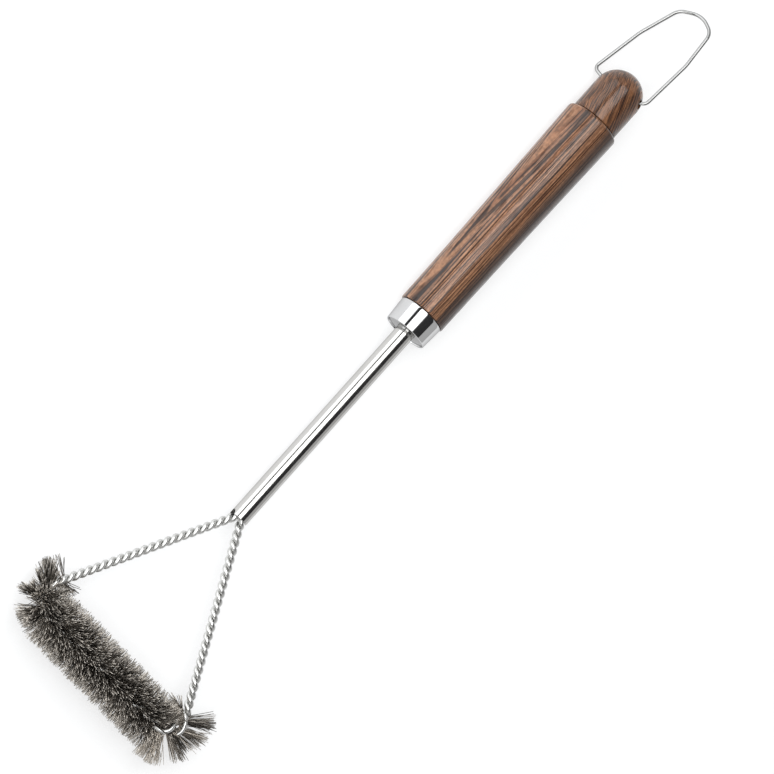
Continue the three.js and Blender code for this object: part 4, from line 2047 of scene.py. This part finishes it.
@dataclass
class HangingLoop:
    """The wire loop that swings in the cap's cross hole.

    Args:
        places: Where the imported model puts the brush.
        radius: Radius of the wire.
        end: Half width and reach of the wire's ends, inside the cap.
        bend: Half width and reach of the two sharp bends.
        shoulder: Half width and reach of the shoulders.
        crown: Half width and reach of the crown's corners.
        tip_reach: Reach of the tip.
        slide: How far the loop has slid sideways in its hole.
        skew: Sideways lean of the loop, as a share of the reach.
        bend_radii: Radii of the bends at the sharp bend, shoulder, crown and tip.
        chamfer: Chamfer at the wire's ends.
        straight_step: Distance between rings where the wire is straight.
        bend_step: Turn between rings where it is bent, in degrees.
        floor_gap: Gap under the drooping loop.
        sides: Number of sides.
    """

    places: Places
    radius: float = 1.0 * MM
    end: Point = (9.9 * MM, -0.8 * MM)
    bend: Point = (18.6 * MM, 2.2 * MM)
    shoulder: Point = (16.7 * MM, 34.8 * MM)
    crown: Point = (11.6 * MM, 59.3 * MM)
    tip_reach: float = 65.0 * MM
    slide: float = -2.7 * MM
    skew: float = 0.078
    bend_radii: tuple[float, float, float, float] = (3.6 * MM, 20 * MM, 8 * MM, 12 * MM)
    chamfer: float = 0.25 * MM
    straight_step: float = 3 * MM
    bend_step: float = 5
    floor_gap: float = 0.12 * MM
    sides: int = 24

    def corners(self) -> list[Point]:
        """Corners of the loop in its own plane.

        Returns:
            Their places across the handle and away from the hole.
        """
        half = [self.bend, self.shoulder, self.crown]
        even = [(-x, y) for x, y in half] + [(0.0, self.tip_reach)] + half[::-1]
        bent = [(x + self.slide + self.skew * y, y) for x, y in even]
        x, y = self.end
        return [(-x, y), *bent, (x, y)]

    def droop(self) -> float:
        """Angle by which the loop droops until its wire just clears the surface below.

        Returns:
            The angle, in radians.
        """
        across, along = self.places.hinge_axis.z, self.places.hinge_axis.x
        room = self.places.hinge.z - self.radius - self.floor_gap
        low = [(x, y) for x, y in self.corners() if x < 0 and y >= self.shoulder[1]]
        return min(math.asin((room + x * across) / (y * along)) for x, y in low)

    def build(self, material: bpy.types.Material) -> bpy.types.Object:
        """Bends the wire.

        Args:
            material: Its steel.

        Returns:
            The loop.
        """
        radii = [*self.bend_radii, *self.bend_radii[2::-1]]
        path = FlatPath(self.corners(), radii)
        across = self.places.hinge_axis
        flat = Vector((0, 1, 0))
        out = Matrix.Rotation(-self.droop(), 3, across) @ flat
        line = []
        for distance in path.stops(self.straight_step, self.bend_step):
            spot = path.at(distance)[0]
            line.append(self.places.hinge + across * spot.x + out * spot.y)
        piece = as_object("loop_wire", wire_mesh(line, self.radius, self.sides, self.chamfer))
        nodes = ["hanging_loop"]
        return dress(piece, material, Body.LOOP, Slot.POLISHED_STEEL, nodes, sharp_degrees=60)


# ------------------------------------------------------------------------------ studio


WHITE: Colour = (1.0, 1.0, 1.0)
COOL: Colour = (0.96, 0.98, 1.0)
CLOTH: Colour = (0.02, 0.02, 0.021)


@dataclass(frozen=True)
class Panel:
    """A lamp or a dark card that runs along the handle, placed by its angle over the handle.

    Args:
        name: Its name.
        low: Angle of one edge from straight up, positive to +X, in degrees.
        high: Angle of the other edge.
        distance: Its distance from the handle.
        length: Its length along Y.
        radiance: How bright it is; 0 is a dark card.
        tint: Its colour.
    """

    name: str
    low: float
    high: float
    distance: float
    length: float
    radiance: float
    tint: Colour = WHITE


@dataclass
class Studio:
    """The pale floor, the soft light and the camera.

    Args:
        places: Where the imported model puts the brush.
        panels: Lamps and cards.
        sky: Brightness of the surroundings.
        floor_tone: Colour of the floor.
        floor_glow: Light that the floor gives by itself.
        floor_half: Half the floor's width.
        paper_grain: Size of the floor's grain.
        aim: Where the camera looks.
        azimuth: The camera's azimuth, in degrees; 0 looks along +Y.
        elevation: Its height above the horizon, in degrees.
        roll: Its roll, in degrees.
        distance: Its distance.
        span: Width of the view at the aim.
        sensor: Width of the camera's sensor, in millimetres.
        clip: Nearest and furthest distance that the camera sees.
    """

    places: Places
    panels: tuple[Panel, ...] = (
        Panel("key_lamp", low=-35, high=0, distance=1.7, length=3.2, radiance=2.6),
        Panel("fill_lamp", low=-89, high=-51, distance=1.8, length=3.2, radiance=1.5, tint=COOL),
        Panel("dark_card", low=4, high=48, distance=1.4, length=3.4, radiance=0.0),
        Panel("dark_strip", low=-48, high=-38, distance=1.4, length=3.4, radiance=0.0),
    )
    sky: float = 0.52
    floor_tone: Colour = (0.42, 0.425, 0.43)
    floor_glow: float = 0.62
    floor_half: float = 14.0
    paper_grain: float = 4 * MM
    aim: tuple[float, float, float] = (0.0134, -0.0191, 0.0163)
    azimuth: float = -59.60
    elevation: float = 65.12
    roll: float = 103.77
    distance: float = 5.174
    span: float = 0.4185
    sensor: float = 36.0
    clip: tuple[float, float] = (0.1, 100.0)

    def build(self) -> None:
        """Sets up floor, surroundings, lamps and camera."""
        self._floor()
        self._sky()
        for panel in self.panels:
            self._panel(panel)
        self._camera()
        bpy.context.scene.view_settings.view_transform = "Standard"

    def _floor(self) -> None:
        """Lays the floor."""
        mesh = bmesh.new()
        bmesh.ops.create_grid(mesh, x_segments=4, y_segments=4, size=self.floor_half)
        floor = as_object("pale_floor", mesh)
        graph = Graph("floor_paper")
        fibres = graph.stretched(graph.place(), (self.paper_grain,) * 3, (0, 0, 0))
        tone = graph.blend(graph.noise(fibres, 3.0) * 0.04, self.floor_tone, WHITE)
        floor.data.materials.append(
            graph.finish(
                base_color=tone,
                roughness=0.9,
                specular_ior_level=0.0,
                emission_color=WHITE,
                emission_strength=self.floor_glow,
            )
        )

    def _sky(self) -> None:
        """Lights the surroundings evenly."""
        world = bpy.data.worlds.new("studio")
        world.use_nodes = True
        background = world.node_tree.nodes["Background"]
        background.inputs["Color"].default_value = (*WHITE, 1.0)
        background.inputs["Strength"].default_value = self.sky
        bpy.context.scene.world = world

    def _panel(self, panel: Panel) -> None:
        """Hangs a lamp or a card over the handle.

        Args:
            panel: The lamp or card.
        """
        middle = math.radians((panel.low + panel.high) / 2)
        half = math.radians((panel.high - panel.low) / 2)
        width = 2 * panel.distance * math.tan(half)
        away = Vector((math.sin(middle), 0, math.cos(middle)))
        spot = Vector((0, 0, self.places.axis_z)) + away * panel.distance
        across = Vector((0, 1, 0)).cross(away)
        turn = Matrix((across, Vector((0, 1, 0)), away)).transposed().to_4x4()
        place = Matrix.Translation(spot) @ turn
        if panel.radiance > 0:
            lamp = bpy.data.lights.new(panel.name, "AREA")
            lamp.shape = "RECTANGLE"
            lamp.size, lamp.size_y = width, panel.length
            lamp.energy = panel.radiance * math.pi * width * panel.length
            lamp.color = panel.tint
            thing = bpy.data.objects.new(panel.name, lamp)
            bpy.context.scene.collection.objects.link(thing)
            thing.matrix_world = place
        else:
            mesh = bmesh.new()
            shape = Matrix.Diagonal((width / 2, panel.length / 2, 1, 1))
            bmesh.ops.create_grid(mesh, x_segments=1, y_segments=1, size=1, matrix=place @ shape)
            thing = as_object(panel.name, mesh)
            graph = Graph("dark_cloth")
            thing.data.materials.append(graph.finish(base_color=CLOTH, roughness=1.0))
        thing.visible_camera = False

    def _camera(self) -> None:
        """Places the camera."""
        azimuth, elevation = math.radians(self.azimuth), math.radians(self.elevation)
        back = Vector(
            (
                math.sin(azimuth) * math.cos(elevation),
                -math.cos(azimuth) * math.cos(elevation),
                math.sin(elevation),
            )
        )
        right = Vector((math.cos(azimuth), math.sin(azimuth), 0))
        turn = Matrix((right, back.cross(right), back)).transposed()
        turn = turn @ Matrix.Rotation(math.radians(self.roll), 3, "Z")
        data = bpy.data.cameras.new("camera")
        data.sensor_width = self.sensor
        data.lens = data.sensor_width * self.distance / self.span
        data.clip_start, data.clip_end = self.clip
        camera = bpy.data.objects.new("camera", data)
        spot = Vector(self.aim) + back * self.distance
        camera.matrix_world = Matrix.Translation(spot) @ turn.to_4x4()
        bpy.context.scene.collection.objects.link(camera)
        bpy.context.scene.camera = camera


# ------------------------------------------------------------------------------ all together


def main() -> None:
    """Builds the brush and its studio."""
    logging.basicConfig(level=logging.INFO, format="%(name)s: %(message)s")
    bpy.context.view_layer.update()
    places = Places.from_frame()
    Studio(places).build()
    finishes = Finishes.build()
    head = HeadPath(places)
    Grip(places).build(finishes.grip)
    EndCap(places).build(finishes.cap)
    CapDowel(places).build(finishes.dowel)
    Ferrule(places).build(finishes.ferrule)
    ShaftTube(places, head).build(finishes.tube)
    ShaftPin(places).build(finishes.pin)
    WireWedge(places).build(finishes.pin)
    HeadWires(head).build(finishes.wire)
    BristleHead(head).build(finishes.bristle)
    HangingLoop(places).build(finishes.loop)


if __name__ == "__main__":
    main()
